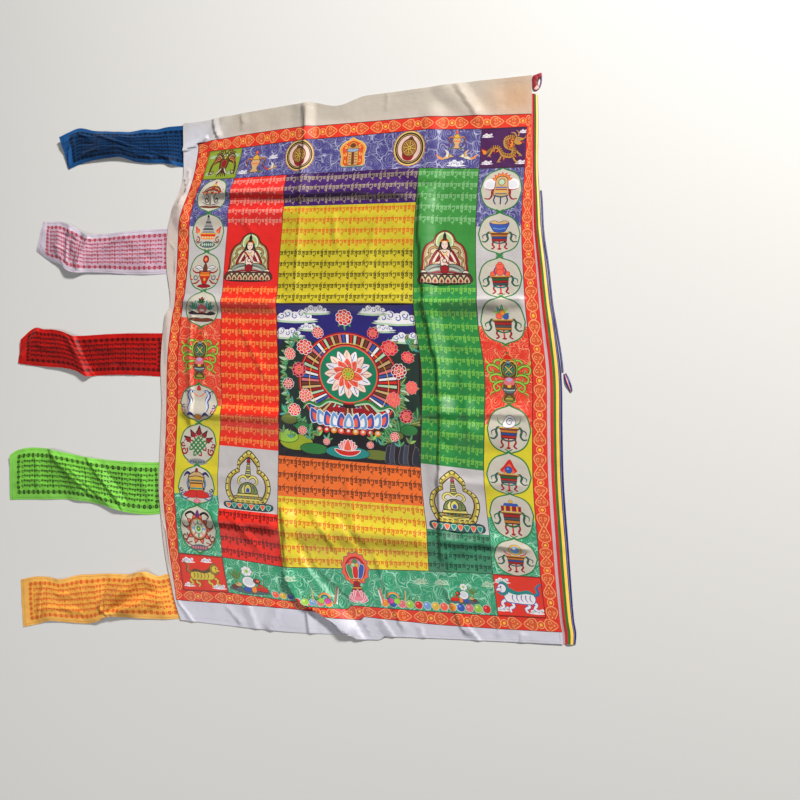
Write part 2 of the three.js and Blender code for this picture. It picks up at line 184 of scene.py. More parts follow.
def curve_weights(knots, v):
    """Weights on the knots' values for a smooth curve through them, read at v."""
    n = len(knots)
    i = np.clip(np.searchsorted(knots, v, side="right") - 1, 0, n - 2)
    h = knots[i + 1] - knots[i]
    f = np.clip((v - knots[i]) / h, 0, 1)
    w = np.zeros((len(v), n))
    r = np.arange(len(v))
    w[r, i] += 2 * f**3 - 3 * f**2 + 1
    w[r, i + 1] += -2 * f**3 + 3 * f**2
    for at, c in ((i, h * (f**3 - 2 * f**2 + f)), (i + 1, h * (f**3 - f**2))):
        lo, hi = np.maximum(at - 1, 0), np.minimum(at + 1, n - 1)
        g = c / (knots[hi] - knots[lo])
        np.add.at(w, (r, hi), g)
        np.add.at(w, (r, lo), -g)
    return w


def line_weights(knots, v):
    n = len(knots)
    i = np.clip(np.searchsorted(knots, v, side="right") - 1, 0, n - 2)
    f = np.clip((v - knots[i]) / (knots[i + 1] - knots[i]), 0, 1)
    w = np.zeros((len(v), n))
    r = np.arange(len(v))
    w[r, i] = 1 - f
    w[r, i + 1] += f
    return w


def soft_line_weights(knots, v, reach=13.0):
    d = np.minimum(reach, np.minimum(v - knots[0], knots[-1] - v))
    return sum(line_weights(knots, v + k * d) for k in (-1, -0.5, 0, 0.5, 1)) / 5


class Lumps:
    """Smooth random lumps of about one size, the same on every run."""

    def __init__(self, size, seed, box=(-80, 900, -80, 1180)):
        self.size, self.box = size, box
        self.grid = np.random.default_rng(seed).uniform(
            -1, 1, (int((box[3] - box[2]) / size) + 4, int((box[1] - box[0]) / size) + 4)
        )

    def __call__(self, s, t):
        x, y = (s - self.box[0]) / self.size, (t - self.box[2]) / self.size
        i, j = np.clip(x.astype(int), 0, self.grid.shape[1] - 2), np.clip(y.astype(int), 0, self.grid.shape[0] - 2)
        fx, fy = np.clip(x - i, 0, 1), np.clip(y - j, 0, 1)
        fx, fy = fx * fx * fx * (fx * (6 * fx - 15) + 10), fy * fy * fy * (fy * (6 * fy - 15) + 10)
        g = self.grid
        return (g[j, i] * (1 - fx) + g[j, i + 1] * fx) * (1 - fy) + (g[j + 1, i] * (1 - fx) + g[j + 1, i + 1] * fx) * fy


BIG, MID, FINE = Lumps(95, 3), Lumps(38, 5), Lumps(17, 11)


def crease(s, t, first, second, rise, fade, points):
    """Height of one crease at each place: a tent whose flanks ease out at their feet."""
    best, side, along = np.full(len(s), 1e9), np.zeros(len(s)), np.zeros(len(s))
    total = sum(math.dist(a, b) for a, b in zip(points, points[1:]))
    run = 0.0
    for (a0, d0), (a1, d1) in zip(points, points[1:]):
        la, ld = a1 - a0, d1 - d0
        size = math.hypot(la, ld)
        f = np.clip(((s - a0) * la + (t - d0) * ld) / size**2, 0, 1)
        far = np.hypot(s - a0 - f * la, t - d0 - f * ld)
        near = far < best
        best = np.where(near, far, best)
        side = np.where(near, (s - a0) * ld - (t - d0) * la, side)
        along = np.where(near, run + f * size, along)
        run += size
    la, ld = points[-1][0] - points[0][0], points[-1][1] - points[0][1]
    second_side = side * np.sign(ld) > 0 if abs(ld) >= abs(la) else side * np.sign(la) < 0
    x = np.clip(1 - best / np.where(second_side, second, first), 0, 1)
    ends = ease(np.minimum(along, total - along) / fade)
    return rise * (0.8 * x + 0.2 * x * x * (3 - 2 * x)) * ends


def ease(v):
    v = np.clip(v, 0, 1)
    return v * v * (3 - 2 * v)


def height(s, t):
    z = np.zeros(len(s))
    for a0, d0, a1, d1, reach, rise in FOLDS:
        la, ld = a1 - a0, d1 - d0
        f = np.clip(((s - a0) * la + (t - d0) * ld) / (la * la + ld * ld), 0, 1)
        far = np.hypot(s - a0 - f * la, t - d0 - f * ld) / reach
        z = np.maximum(z, np.where(far < 1, 0.62 * rise * (0.5 + 0.5 * np.cos(np.pi * np.minimum(far, 1))), 0))
    for first, second, rise, fade, points in CREASES:
        z = z + 1.2 * crease(s, t, first, second, rise, fade, points)
    z = z + 0.55 + 0.85 * BIG(s, t) + 0.52 * MID(s, t) + 0.15 * FINE(s, t)
    z = 0.5 * (z + np.sqrt(z * z + 0.5))          # nowhere below the floor, and soft where it meets it
    edge = np.minimum(s, WIDE - s)
    seam = SEAM_LIFT * (1 - ease((edge - SEAM_FLAT) / (SEAM_RAMP - SEAM_FLAT)))
    return seam + 0.5 * ((z - seam) + np.sqrt((z - seam) ** 2 + 0.3))


def lie(s, t):
    """Where places on the cut lie: x, y on the plan and the underside's height, in mm."""
    s, t = np.asarray(s, float), np.asarray(t, float)
    xy = np.einsum("ni,ijk,nj->nk", curve_weights(DOWNS, t), PLAN, soft_line_weights(ACROSS, s))
    off = np.abs(s - TOP_DIP["middle"]) / TOP_DIP["reach"]
    dip = TOP_DIP["deep"] * (0.5 + 0.5 * np.cos(np.pi * np.minimum(off, 1))) * np.clip(1 - t / TOP_DIP["fades_by"], 0, 1)
    xy[:, 1] -= dip
    # the slanting pleat at the foot takes up a little cloth, so the print jumps there
    jump = slant_step(s, t)
    xy[:, 1] -= jump
    return np.column_stack([xy, height(s, t)])


def slant_step(s, t):
    """How far the print is carried down between the two lines of the slanting pleat."""
    a = (s - 313) * (1050 - 1012) - (t - 1012) * (371 - 313)
    b = (s - 345) * (1009 - 948) - (t - 948) * (403 - 345)
    a, b = a / math.hypot(58, 38), b / math.hypot(58, 61)
    inside = ease((a + 3) / 5) * ease((3 - b) / 5)
    return 7.0 * inside * ease((t - 955) / 40)


def settle(surface, u, v, lift, ends, e=1.1):
    """Points (in metres) and upward normals of a cloth whose surface(u, v) gives x, y on
    the plan and the underside's height; lift is added above that."""
    u, v = np.asarray(u, float), np.asarray(v, float)
    p = surface(u, v)
    du = surface(np.minimum(u + e, ends[0]), v) - surface(np.maximum(u - e, 0), v)
    dv = surface(u, np.minimum(v + e, ends[1])) - surface(u, np.maximum(v - e, 0))
    n = np.cross(dv, du)
    n /= np.linalg.norm(n, axis=1)[:, None] + 1e-12
    n[n[:, 2] < 0] *= -1
    n[:, :2] *= FALL              # so that thin satin's shallow folds catch the light
    n /= np.linalg.norm(n, axis=1)[:, None]
    p[:, 2] += lift
    p[:, 0] -= MIDDLE[0]
    p[:, 1] -= MIDDLE[1]
    return p / 1000, n


# ---- the print's plan ------------------------------------------------------------
PLAIN, TEXT, BROCADE, BEADS, BEADS_DOWN = 0, 1, 2, 3, 4
COLOURS = {
    "margin": rgb(214, 207, 202), "line": rgb(52, 20, 22),
    # the left strip's border red is a darker copy of the border red: painted shade
    "border": rgb(222, 50, 30), "border_left_painted_shade": rgb(206, 44, 26), "scroll": rgb(246, 160, 104), "scroll_in": rgb(212, 82, 38), "bead": rgb(250, 184, 60),
    "blue": rgb(74, 68, 134), "blue_ink": rgb(196, 198, 222),
    "teal": rgb(44, 150, 108), "teal_ink": rgb(186, 240, 214),
    "rose": rgb(222, 52, 34), "rose_ink": rgb(248, 178, 132),
    "cream": rgb(194, 190, 191), "lemon": rgb(214, 200, 44),
    "purple": rgb(62, 22, 98), "plum": rgb(74, 26, 82), "purple_ink": rgb(166, 148, 122),
    "yellow": rgb(204, 188, 42), "yellow_low": rgb(222, 204, 50), "yellow_ink": rgb(210, 76, 28), "yellow_ink2": rgb(30, 26, 14),
    "orange": rgb(236, 110, 40), "orange_ink": rgb(46, 20, 12),
    "red": rgb(230, 40, 24), "red_up": rgb(232, 150, 134), "red_top": rgb(224, 38, 34), "red_ink": rgb(242, 146, 70), "red_ink2": rgb(30, 6, 14),
    "green": rgb(34, 130, 60), "green_top": rgb(56, 138, 58), "green_low": rgb(60, 134, 100), "green_up": rgb(134, 188, 130), "green_ink": rgb(120, 184, 70), "green_ink2": rgb(14, 46, 34),
    "moss": rgb(140, 162, 48),
}
WHITE, CREAM, SKIN = rgb(236, 232, 236), rgb(222, 216, 200), rgb(240, 214, 198)
GOLD, AMBER, BROWN, DARK = rgb(222, 176, 60), rgb(232, 140, 44), rgb(112, 56, 34), rgb(38, 26, 28)
RED, CRIMSON, PINK, CORAL = rgb(206, 36, 30), rgb(150, 20, 30), rgb(236, 130, 152), rgb(236, 96, 70)
NAVY, BLUE, SKY, LILAC = rgb(32, 34, 96), rgb(52, 84, 168), rgb(110, 156, 206), rgb(176, 160, 206)
GREEN, LEAF, LIME, TEAL = rgb(44, 120, 60), rgb(64, 140, 84), rgb(150, 196, 64), rgb(30, 134, 130)
PAPER = rgb(198, 192, 178)
GREY, SLATE, ROSE, PURPLE = rgb(140, 140, 148), rgb(84, 96, 104), rgb(214, 110, 120), rgb(104, 40, 120)
OLIVE, MINT, SAND = rgb(104, 116, 48), rgb(178, 206, 172), rgb(206, 168, 116)

# Each field: across0, across1, down0, down1, colour, ink, pattern, how many marks
# across and how many rows down. Later fields lie over earlier ones.
LINE = 1.2
FIELDS = [
    (0, WIDE, 0, LONG, "margin", None, PLAIN, 1, 1),
    (28, WIDE, 62, 1043.2, "line", None, PLAIN, 1, 1),
    (29.2, WIDE, 63.2, 1042, "border", None, PLAIN, 1, 1),
    # the left border strip's darker red is painted shade
    (29.2, 54.2, 88, 1020.6, "border_left_painted_shade", None, PLAIN, 1, 1),
    (54.2, 790.2, 88, 1020.6, "line", None, PLAIN, 1, 1),
    (55.4, 154.4, 89.2, 160.4, "moss", None, PLAIN, 1, 1),
    (700.6, 789, 89.2, 160.4, "plum", None, PLAIN, 1, 1),
    (155.6, 699.4, 89.2, 160.4, "blue", "blue_ink", BROCADE, 1, 1),
    (55.4, 154.4, 161.6, 275, "blue", "blue_ink", BROCADE, 1, 1),
    (55.4, 154.4, 275, 471, "cream", None, PLAIN, 1, 1),
    (55.4, 154.4, 471, 656, "rose", "rose_ink", BROCADE, 1, 1),
    (55.4, 154.4, 656, 834, "lemon", None, PLAIN, 1, 1),
    (55.4, 154.4, 834, 947.4, "teal", "teal_ink", BROCADE, 1, 1),
    (700.6, 789, 161.6, 275, "blue", "blue_ink", BROCADE, 1, 1),
    (700.6, 789, 275, 471, "cream", None, PLAIN, 1, 1),
    (700.6, 789, 471, 656, "rose", "rose_ink", BROCADE, 1, 1),
    (700.6, 789, 656, 834, "lemon", None, PLAIN, 1, 1),
    (700.6, 789, 834, 947.4, "teal", "teal_ink", BROCADE, 1, 1),
    (155.6, 284.4, 161.6, 738, "red", None, PLAIN, 1, 1),
    (155.6, 284.4, 161.6, 396, "red_top", None, PLAIN, 1, 1),
    (155.6, 284.4, 161.6, 275, "red_top", "red_up", TEXT, 16, 5),
    (155.6, 284.4, 396, 738, "red", "red_ink", TEXT, 16, 15),
    (285.6, 577.4, 161.6, 229, "purple", "purple_ink", TEXT, 35, 3),
    (285.6, 577.4, 229, 319.7, "yellow", "yellow_ink", TEXT, 35, 4),
    (285.6, 577.4, 319.7, 432.4, "yellow", "yellow_ink2", TEXT, 35, 5),
    (285.6, 577.4, 746.6, 824, "orange", "orange_ink", TEXT, 35, 3),
    (285.6, 577.4, 824, 947.4, "yellow_low", "yellow_ink", TEXT, 35, 6),
    (578.6, 699.4, 161.6, 396, "green_top", None, PLAIN, 1, 1),
    (578.6, 699.4, 161.6, 275, "green_top", "green_up", TEXT, 15, 5),
    (578.6, 699.4, 396, 738, "green", "green_ink", TEXT, 15, 15),
    (155.6, 284.4, 738, 863, "cream", None, PLAIN, 1, 1),
    (578.6, 699.4, 738, 863, "cream", None, PLAIN, 1, 1),
    (155.6, 284.4, 863, 947.4, "red", "red_ink2", TEXT, 16, 4),
    (578.6, 699.4, 863, 947.4, "green_low", "green_ink2", TEXT, 15, 4),
    (155.6, 699.4, 948.6, 1019.4, "teal", "teal_ink", BROCADE, 1, 1),
    (55.4, 154.4, 948.6, 1019.4, "rose", None, PLAIN, 1, 1),
    (700.6, 789, 948.6, 1019.4, "rose", None, PLAIN, 1, 1),
]
BROCADE_SIZE = 24.0


def field_paint(fields, s, t):
    """For each place: base colour, ink with the pattern in its alpha, and the field it is in."""
    base = np.zeros((len(s), 3))
    ink = np.zeros((len(s), 4))
    which = np.zeros(len(s), int)
    for n, (s0, s1, t0, t1, colour, ink_name, pattern, _, _) in enumerate(fields):
        m = (s >= s0) & (s <= s1) & (t >= t0) & (t <= t1)
        base[m] = COLOURS.get(colour, (0, 0, 0))
        ink[m, :3] = COLOURS[ink_name] if ink_name else COLOURS.get(colour, (0, 0, 0))
        ink[m, 3] = min(pattern, BEADS) / 4
        which[m] = n
    return base, ink, which


def margin_colour_and_light(s, t):
    """The plain margins are not one white: a pinkish left edge, a peach stain at the top's right end and a cool patch
    near the top left corner, with painted light as well: a darker warm beige at the top for warm light falling there,
    and a cool, slightly blue foot for cooler light there."""
    top, left, foot = rgb(190, 181, 168), rgb(212, 196, 188), rgb(208, 208, 222)
    stain, cool = rgb(206, 164, 128), rgb(212, 214, 228)
    c = np.empty((len(s), 3))
    c[:] = left
    # painted light: the top margin turns a darker, warm beige
    w = np.where(t < 62, 1.0, 0.0)[:, None] * np.clip(1 - (t - 40) / 40, 0, 1)[:, None]
    c = c * (1 - w) + np.array(top) * w
    w = (np.exp(-(((s - 770) / 62) ** 2) - ((t - 34) / 40) ** 2) * 0.85)[:, None]
    c = c * (1 - w) + np.array(stain) * w
    w = (np.exp(-(((s - 20) / 60) ** 2) - ((t - 60) / 90) ** 2) * 0.9)[:, None]
    c = c * (1 - w) + np.array(cool) * w
    # painted light: the foot turns cool and slightly blue
    w = ease((t - 1000) / 50)[:, None]
    return c * (1 - w) + np.array(foot) * w


def pattern_place(fields, which, s, t):
    """The pattern's own coordinates: marks and rows for text, lumps for brocade, beads
    along a band (a band that runs down the cut has them turned)."""
    f = np.array([x[:4] for x in fields])
    kind = np.array([x[6] for x in fields])
    count = np.array([x[7:9] for x in fields], float)
    s0, s1, t0, t1 = f[which].T
    a, b = (s - s0) / (s1 - s0) * count[which, 0], (t - t0) / (t1 - t0) * count[which, 1]
    brocade, turned = kind[which] == BROCADE, kind[which] == BEADS_DOWN
    u = np.where(brocade, s / BROCADE_SIZE, np.where(turned, b, a))
    v = np.where(brocade, t / BROCADE_SIZE, np.where(turned, a, b))
    return u, v


# ---- drawing ---------------------------------------------------------------------
def clipped(c, axis, limit, side):
    """The part of a closed line on one side of a limit."""
    out = []
    for a, b in zip(c, np.roll(c, -1, axis=0)):
        fa, fb = (a[axis] - limit) * side, (b[axis] - limit) * side
        if fa >= 0:
            out.append(a)
        if (fa >= 0) != (fb >= 0):
            out.append(a + (b - a) * fa / (fa - fb))
    return np.array(out).reshape(-1, 2)


def thinned(c, off=0.19):
    """A closed line without the points that it doesn't need."""
    def keep(a, b):
        if b - a < 2:
            return []
        p, q = ring[a], ring[b]
        way = q - p
        size = math.hypot(*way)
        mid = ring[a + 1:b] - p
        if size < 1e-9:
            far = np.hypot(mid[:, 0], mid[:, 1])
        else:
            far = np.abs(mid[:, 0] * way[1] - mid[:, 1] * way[0]) / size
        k = int(np.argmax(far))
        if far[k] <= off:
            return []
        k += a + 1
        return keep(a, k) + [k] + keep(k, b)

    n = len(c)
    if n < 5:
        return c
    ring = np.vstack([c, c[:1]])
    half = int(np.argmax(np.hypot(*(c - c[0]).T)))
    kept = [0] + keep(0, half) + [half] + keep(half, n)
    return c[sorted(set(k % n for k in kept))]


class Shapes:
    """Shapes drawn over the fields of one part of the cut, back to front."""

    def __init__(self, rect=None):
        self.rect = rect
        self.items = []

    def add(self, contours, colour):
        kept = []
        for c in contours:
            c = np.asarray(c, float)
            if self.rect:
                s0, s1, t0, t1 = self.rect
                c = clipped(c, 0, s0 + 0.3, 1)
                c = clipped(c, 0, s1 - 0.3, -1)
                c = clipped(c, 1, t0 + 0.3, 1)
                c = clipped(c, 1, t1 - 0.3, -1)
            if len(c) > 2:
                c = c[np.linalg.norm(c - np.roll(c, 1, axis=0), axis=1) > 0.08]
            if len(c) > 2:
                c = thinned(c)
            if len(c) > 2:
                kept.append(c)
        if kept:
            self.items.append((kept, colour))

    def paint(self, s, t):
        """Index of the shape on top at each place, or -1."""
        top = np.full(len(s), -1)
        for n, (contours, _) in enumerate(self.items):
            every = np.vstack(contours)
            lo, hi = every.min(0), every.max(0)
            m = np.nonzero((s >= lo[0]) & (s <= hi[0]) & (t >= lo[1]) & (t <= hi[1]))[0]
            if not len(m):
                continue
            x, y = s[m][:, None], t[m][:, None]
            wind = np.zeros(len(m), int)
            for c in contours:
                a, b = c, np.roll(c, -1, axis=0)
                cross = (b[:, 0] - a[:, 0]) * (y - a[:, 1]) - (x - a[:, 0]) * (b[:, 1] - a[:, 1])
                up = (a[:, 1] <= y) & (b[:, 1] > y) & (cross > 0)
                down = (a[:, 1] > y) & (b[:, 1] <= y) & (cross < 0)
                wind += up.sum(1) - down.sum(1)
            top[m[wind != 0]] = n
        return top


def seen_edges(shapes, fallback=-1):
    """The edges of the shapes that part two colours; the rest lie under later shapes."""
    starts, ends = [], []
    for contours, _ in shapes.items:
        for c in contours:
            starts.append(c)
            ends.append(np.roll(c, -1, axis=0))
    a, b = np.vstack(starts), np.vstack(ends)
    way = b - a
    n = np.column_stack([-way[:, 1], way[:, 0]]) / (np.linalg.norm(way, axis=1)[:, None] + 1e-9) * 0.1
    names = {}
    colour = np.array([names.setdefault(c, len(names)) for _, c in shapes.items] + [fallback])
    seen = np.zeros(len(a), bool)
    for f in (0.12, 0.5, 0.88):
        p = a + way * f
        left, right = shapes.paint(*(p + n).T), shapes.paint(*(p - n).T)
        seen |= colour[left] != colour[right]
    return a[seen], b[seen]


def smooth(points, closed, parts=4):
    """More points, on a soft curve through the given ones."""
    p = np.asarray(points, float)
    n = len(p)
    out = []
    for i in range(n if closed else n - 1):
        a, b, c, d = (p[k % n] if closed else p[min(max(k, 0), n - 1)] for k in (i - 1, i, i + 1, i + 2))
        for k in range(parts):
            f = k / parts
            out.append(0.5 * (2 * b + (c - a) * f + (2 * a - 5 * b + 4 * c - d) * f**2 + (3 * b - a - 3 * c + d) * f**3))
    if not closed:
        out.append(p[-1])
    return np.array(out)


class Stretched:
    """Hands its outlines on to Shapes, stretched across and down from one point."""

    def __init__(self, shapes, across, down, wider, longer):
        self.shapes, self.at, self.by = shapes, np.array((across, down), float), np.array((wider, longer), float)

    def add(self, outlines, colour):
        self.shapes.add([(np.asarray(k, float) - self.at) * self.by + self.at for k in outlines], colour)


class Pen:
    """Draws on Shapes in its own millimetres, x to the right and y up the cut."""

    def __init__(self, shapes, across, down, size=1.0, turn=0.0, flip=False):
        self.shapes, self.x, self.y, self.size, self.turn, self.flip = shapes, across, down, size, turn, flip

    def place(self, points):
        p = np.asarray(points, float) * self.size
        if self.flip:
            p = p * (-1, 1)
        c, s = math.cos(self.turn), math.sin(self.turn)
        return np.column_stack([self.x + c * p[:, 0] - s * p[:, 1], self.y - (s * p[:, 0] + c * p[:, 1])])

    def at(self, x, y, size=1.0, turn=0.0, flip=False):
        (a, d) = self.place([(x, y)])[0]
        turned = self.turn - turn if self.flip else self.turn + turn
        return Pen(self.shapes, a, d, self.size * size, turned, self.flip != flip)

    def sides(self, draw):
        draw(self)
        draw(self.at(0, 0, flip=True))

    def poly(self, points, colour):
        self.shapes.add([self.place(points)], colour)

    def blob(self, points, colour, line=None, width=0.9, parts=4):
        p = smooth(points, True, parts)
        self.poly(p, colour)
        if line is not None:
            self.loop(p, width, line)

    def oval(self, x, y, rx, ry, colour, line=None, width=0.9, n=18, turn=0.0):
        a = np.linspace(0, 2 * math.pi, n, endpoint=False)
        c, s = math.cos(turn), math.sin(turn)
        p = np.column_stack([x + rx * np.cos(a) * c - ry * np.sin(a) * s, y + rx * np.cos(a) * s + ry * np.sin(a) * c])
        if colour is not None:
            self.poly(p, colour)
        if line is not None:
            self.loop(p, width, line)

    def loop(self, points, width, colour):
        p = np.asarray(points, float)
        along = np.roll(p, -1, axis=0) - np.roll(p, 1, axis=0)
        n = np.column_stack([-along[:, 1], along[:, 0]]) / (np.linalg.norm(along, axis=1)[:, None] + 1e-9)
        self.shapes.add([self.place(p + n * width / 2), self.place(p - n * width / 2)[::-1]], colour)

    def stroke(self, points, width, colour, parts=4, taper=1.0, head=1.0):
        p = smooth(points, False, parts) if parts > 1 else np.asarray(points, float)
        along = np.gradient(p, axis=0)
        n = np.column_stack([-along[:, 1], along[:, 0]]) / (np.linalg.norm(along, axis=1)[:, None] + 1e-9)
        f = np.linspace(0, 1, len(p))[:, None]
        w = width / 2 * np.where(f < 0.5, head + (1 - head) * 2 * f, 1 + (taper - 1) * (2 * f - 1))
        self.shapes.add([np.vstack([self.place(p + n * w), self.place(p - n * w)[::-1]])], colour)

    def coil(self, x, y, r, turns, width, colour, start=0.0, inner=0.22, n=9, taper=0.6):
        """A scroll: a spiral stroke that winds in from radius r."""
        k = np.linspace(0, 1, max(4, int(n * turns)))
        a = start + k * turns * 2 * math.pi
        rr = r * (1 - (1 - inner) * k)
        self.stroke(np.column_stack([x + rr * np.cos(a), y + rr * np.sin(a)]), width, colour, 2, taper)


# ---- motifs ----------------------------------------------------------------------
def border_unit(p):
    """One unit of the border: two facing scrolls and a bead between them."""
    c = COLOURS

    def half(q):
        leaf = smooth([(6.6, 0), (9.6, 8.2), (16.4, 10.4), (25, 6.2), (32.6, 0), (25, -6.2), (16.4, -10.4), (9.6, -8.2)], True, 2)
        q.poly(leaf, c["scroll_in"])
        q.loop(leaf, 1.5, c["scroll"])
        q.coil(16.8, 3.4, 4.4, 1.0, 1.15, c["scroll"], start=-0.4, n=6)
        q.coil(16.8, -3.4, 4.4, -1.0, 1.15, c["scroll"], start=0.4, n=6)
        q.oval(25, 0, 1.9, 1.6, c["scroll"], n=6)

    p.sides(half)
    p.oval(0, 0, 6.4, 6.0, c["scroll_in"], c["scroll"], 1.3, n=10)
    p.oval(0, 0, 3.0, 2.8, c["bead"], n=6)


def frame_points(rx, ry, n=64):
    """A round frame with four soft lobes and a point at each end of both axes."""
    a = np.linspace(0, 2 * math.pi, n, endpoint=False)
    upright, level = np.arccos(np.clip(np.abs(np.sin(a)), 0, 1)), np.arccos(np.clip(np.abs(np.cos(a)), 0, 1))
    r = 0.945 - 0.03 * np.cos(4 * a) + 0.105 * np.exp(-upright / 0.16) + 0.05 * np.exp(-level / 0.16)
    return np.column_stack([rx * r * np.cos(a), ry * r * np.sin(a)])


def medallion(p, fill, rim, rx=45.0, ry=40.5):
    pts = frame_points(rx, ry)
    for side in (1, -1):
        p.sides(lambda q: q.stroke([(-7, side * ry * 0.95), (0, side * (ry * 0.98 + 2.4)), (7, side * (ry * 0.98 + 6))], 2.0, rim, 3))
    p.poly(pts, rim)
    p.poly(pts * 0.94, fill)


def plume(p, colours, size=1.0):
    """A curling leaf, like those beside each emblem."""
    q = p.at(0, 0, size)
    q.blob([(0, 0), (5, 2), (10, 8), (9, 15), (4, 18), (6, 12), (3, 6)], colours[0])
    q.stroke([(0, 0), (6, 5), (7, 12), (4, 17)], 1.1, colours[1], 3, 0.4)


def flame(p, h, w, colours):
    for k, c in enumerate(colours):
        f = 1 - 0.28 * k
        p.blob([(0, 0), (w * f, h * 0.22 * f), (w * 0.66 * f, h * 0.55 * f), (0.12 * w, h * f), (-w * 0.6 * f, h * 0.52 * f), (-w * f, h * 0.22 * f)], c, parts=3)


def leaf(p, length, width, colour, vein=None):
    p.blob([(0, 0), (length * 0.35, width * 0.5), (length, 0), (length * 0.35, -width * 0.5)], colour, parts=3)
    if vein is not None:
        p.stroke([(length * 0.05, 0), (length * 0.85, 0)], 0.6, vein, 1)


def lotus_foot(p, wide, tall, dark, pale, petals=5):
    """The low flat base under an emblem."""
    p.blob([(-wide / 2, 0), (-wide * 0.3, tall * 0.45), (0, tall * 0.6), (wide * 0.3, tall * 0.45), (wide / 2, 0), (wide * 0.3, -tall * 0.4), (0, -tall * 0.5), (-wide * 0.3, -tall * 0.4)], dark)
    for k in range(petals):
        x = wide * 0.78 * ((k + 0.5) / petals - 0.5)
        p.oval(x, 0.05 * tall, wide * 0.3 / petals, tall * 0.24, pale, n=8)


def scrolls(p, x, y, r, colour, width=2.0, turns=1.15):
    def half(q):
        q.coil(x, y, r, turns, width, colour, start=math.pi, n=9)
        q.stroke([(x - r, y), (x - r * 0.7, y + r * 1.2), (x + r * 0.6, y + r * 1.7)], width * 0.8, colour, 3, 0.3)
    p.sides(half)


def parasol(p):
    scrolls(p, 12, -9, 6.0, DARK, 2.2)
    p.sides(lambda q: q.stroke([(2, -20), (12, -18), (22, -14)], 1.6, DARK, 3, 0.4))
    p.stroke([(0, -22), (0, 28)], 1.9, BROWN, 1)
    p.blob([(-25, 4), (-19, 13), (-8, 19), (8, 19), (19, 13), (25, 4), (12, 7), (0, 8.5), (-12, 7)], BROWN, DARK, 0.8)
    p.blob([(-17, 9.4), (-8, 15.5), (8, 15.5), (17, 9.4), (0, 12.4)], CRIMSON)
    p.sides(lambda q: q.stroke([(4, 15), (14, 12), (20, 7)], 1.3, SAND, 3, 0.5))
    for k in range(6):
        x = -20 + 8 * k
        p.oval(x, 4.2 - abs(x) * 0.02, 3.0, 2.6, RED if k % 2 else AMBER, DARK, 0.5, n=9)
    p.sides(lambda q: q.stroke([(24, 4), (29, 8), (27, 13)], 1.5, RED, 3, 0.4))
    p.blob([(-8, 18), (0, 25), (8, 18), (0, 20)], GOLD, DARK, 0.7)
    p.oval(0, 27.6, 2.4, 2.8, RED, DARK, 0.6, n=9)
    p.at(0, -24).blob([(-26, 0), (-12, 2.6), (0, 1), (12, 2.6), (26, 0), (10, -2.6), (-10, -2.6)], BROWN, DARK, 0.7)


def bowl_tower(p):
    lotus_foot(p.at(0, -23), 38, 11, SLATE, MINT, 6)
    for k in range(5):
        w, y = 17 - 3.3 * k, -2 + 6.4 * k
        p.poly([(-w, y), (w, y), (w * 0.72, y + 4.4), (-w * 0.72, y + 4.4)], (GREY, SLATE)[k % 2])
        p.stroke([(-w, y), (w, y)], 0.9, DARK, 1)
    p.blob([(-2.6, 29), (0, 36), (2.6, 29)], DARK)
    p.poly([(-20, -2), (20, -2), (14, -13), (-14, -13)], AMBER)
    p.poly([(-18, -4), (18, -4), (17, -7), (-17, -7)], RED)
    p.stroke([(-20, -2), (20, -2)], 1.3, GOLD, 1)
    for k in range(5):
        p.oval(-12 + 6 * k, -9.6, 1.7, 1.6, CREAM, n=7)
    p.sides(lambda q: flame(q.at(22, -2, turn=-0.5), 16, 5, (RED, CORAL, AMBER)))
    p.sides(lambda q: q.coil(24, -14, 6, 1.1, 2.2, CRIMSON, start=1.2))
    p.sides(lambda q: q.stroke([(14, -17), (24, -20), (31, -15)], 1.5, DARK, 3, 0.3))


def vase(p):
    p.at(0, -26).blob([(-16, 0), (-8, 3.4), (8, 3.4), (16, 0), (6, -2.6), (-6, -2.6)], CRIMSON, DARK, 0.7)
    p.blob([(-4, -22), (-8, -14), (-13, -6), (-10, 1), (10, 1), (13, -6), (8, -14), (4, -22)], RED, DARK, 1.3)
    p.poly([(-12.4, -7), (12.4, -7), (12, -3.4), (-12, -3.4)], AMBER)
    p.stroke([(-11, -1.2), (11, -1.2)], 1.1, GOLD, 1)
    p.oval(0, -13, 3.2, 3.4, GOLD, DARK, 0.5, n=10)
    p.blob([(-4, 2), (-5, 9), (0, 17), (5, 9), (4, 2)], BROWN, DARK, 0.8)
    p.oval(0, 24, 7, 7, CRIMSON, DARK, 0.8)
    p.oval(0, 24, 4.2, 4.2, CORAL, n=12)
    p.oval(0, 24, 1.9, 1.9, GOLD, n=8)

    def side(q):
        q.blob([(5, 6), (14, 12), (25, 10), (18, 6), (10, 3)], WHITE, DARK, 1.0)
        q.stroke([(8, 6), (15, 8), (23, 8)], 1.1, DARK, 3, 0.4)
        q.coil(22, -9, 6.4, 1.2, 2.2, SLATE, start=2.6)
        q.stroke([(12, -14), (20, -20), (30, -20)], 3.2, CRIMSON, 3, 0.4)
        q.stroke([(10, 2), (19, -1), (29, 3), (31, 9)], 3.0, CRIMSON, 3, 0.3)
        q.stroke([(28, -14), (34, -11), (33, -5)], 2.4, RED, 3, 0.3)
    p.sides(side)


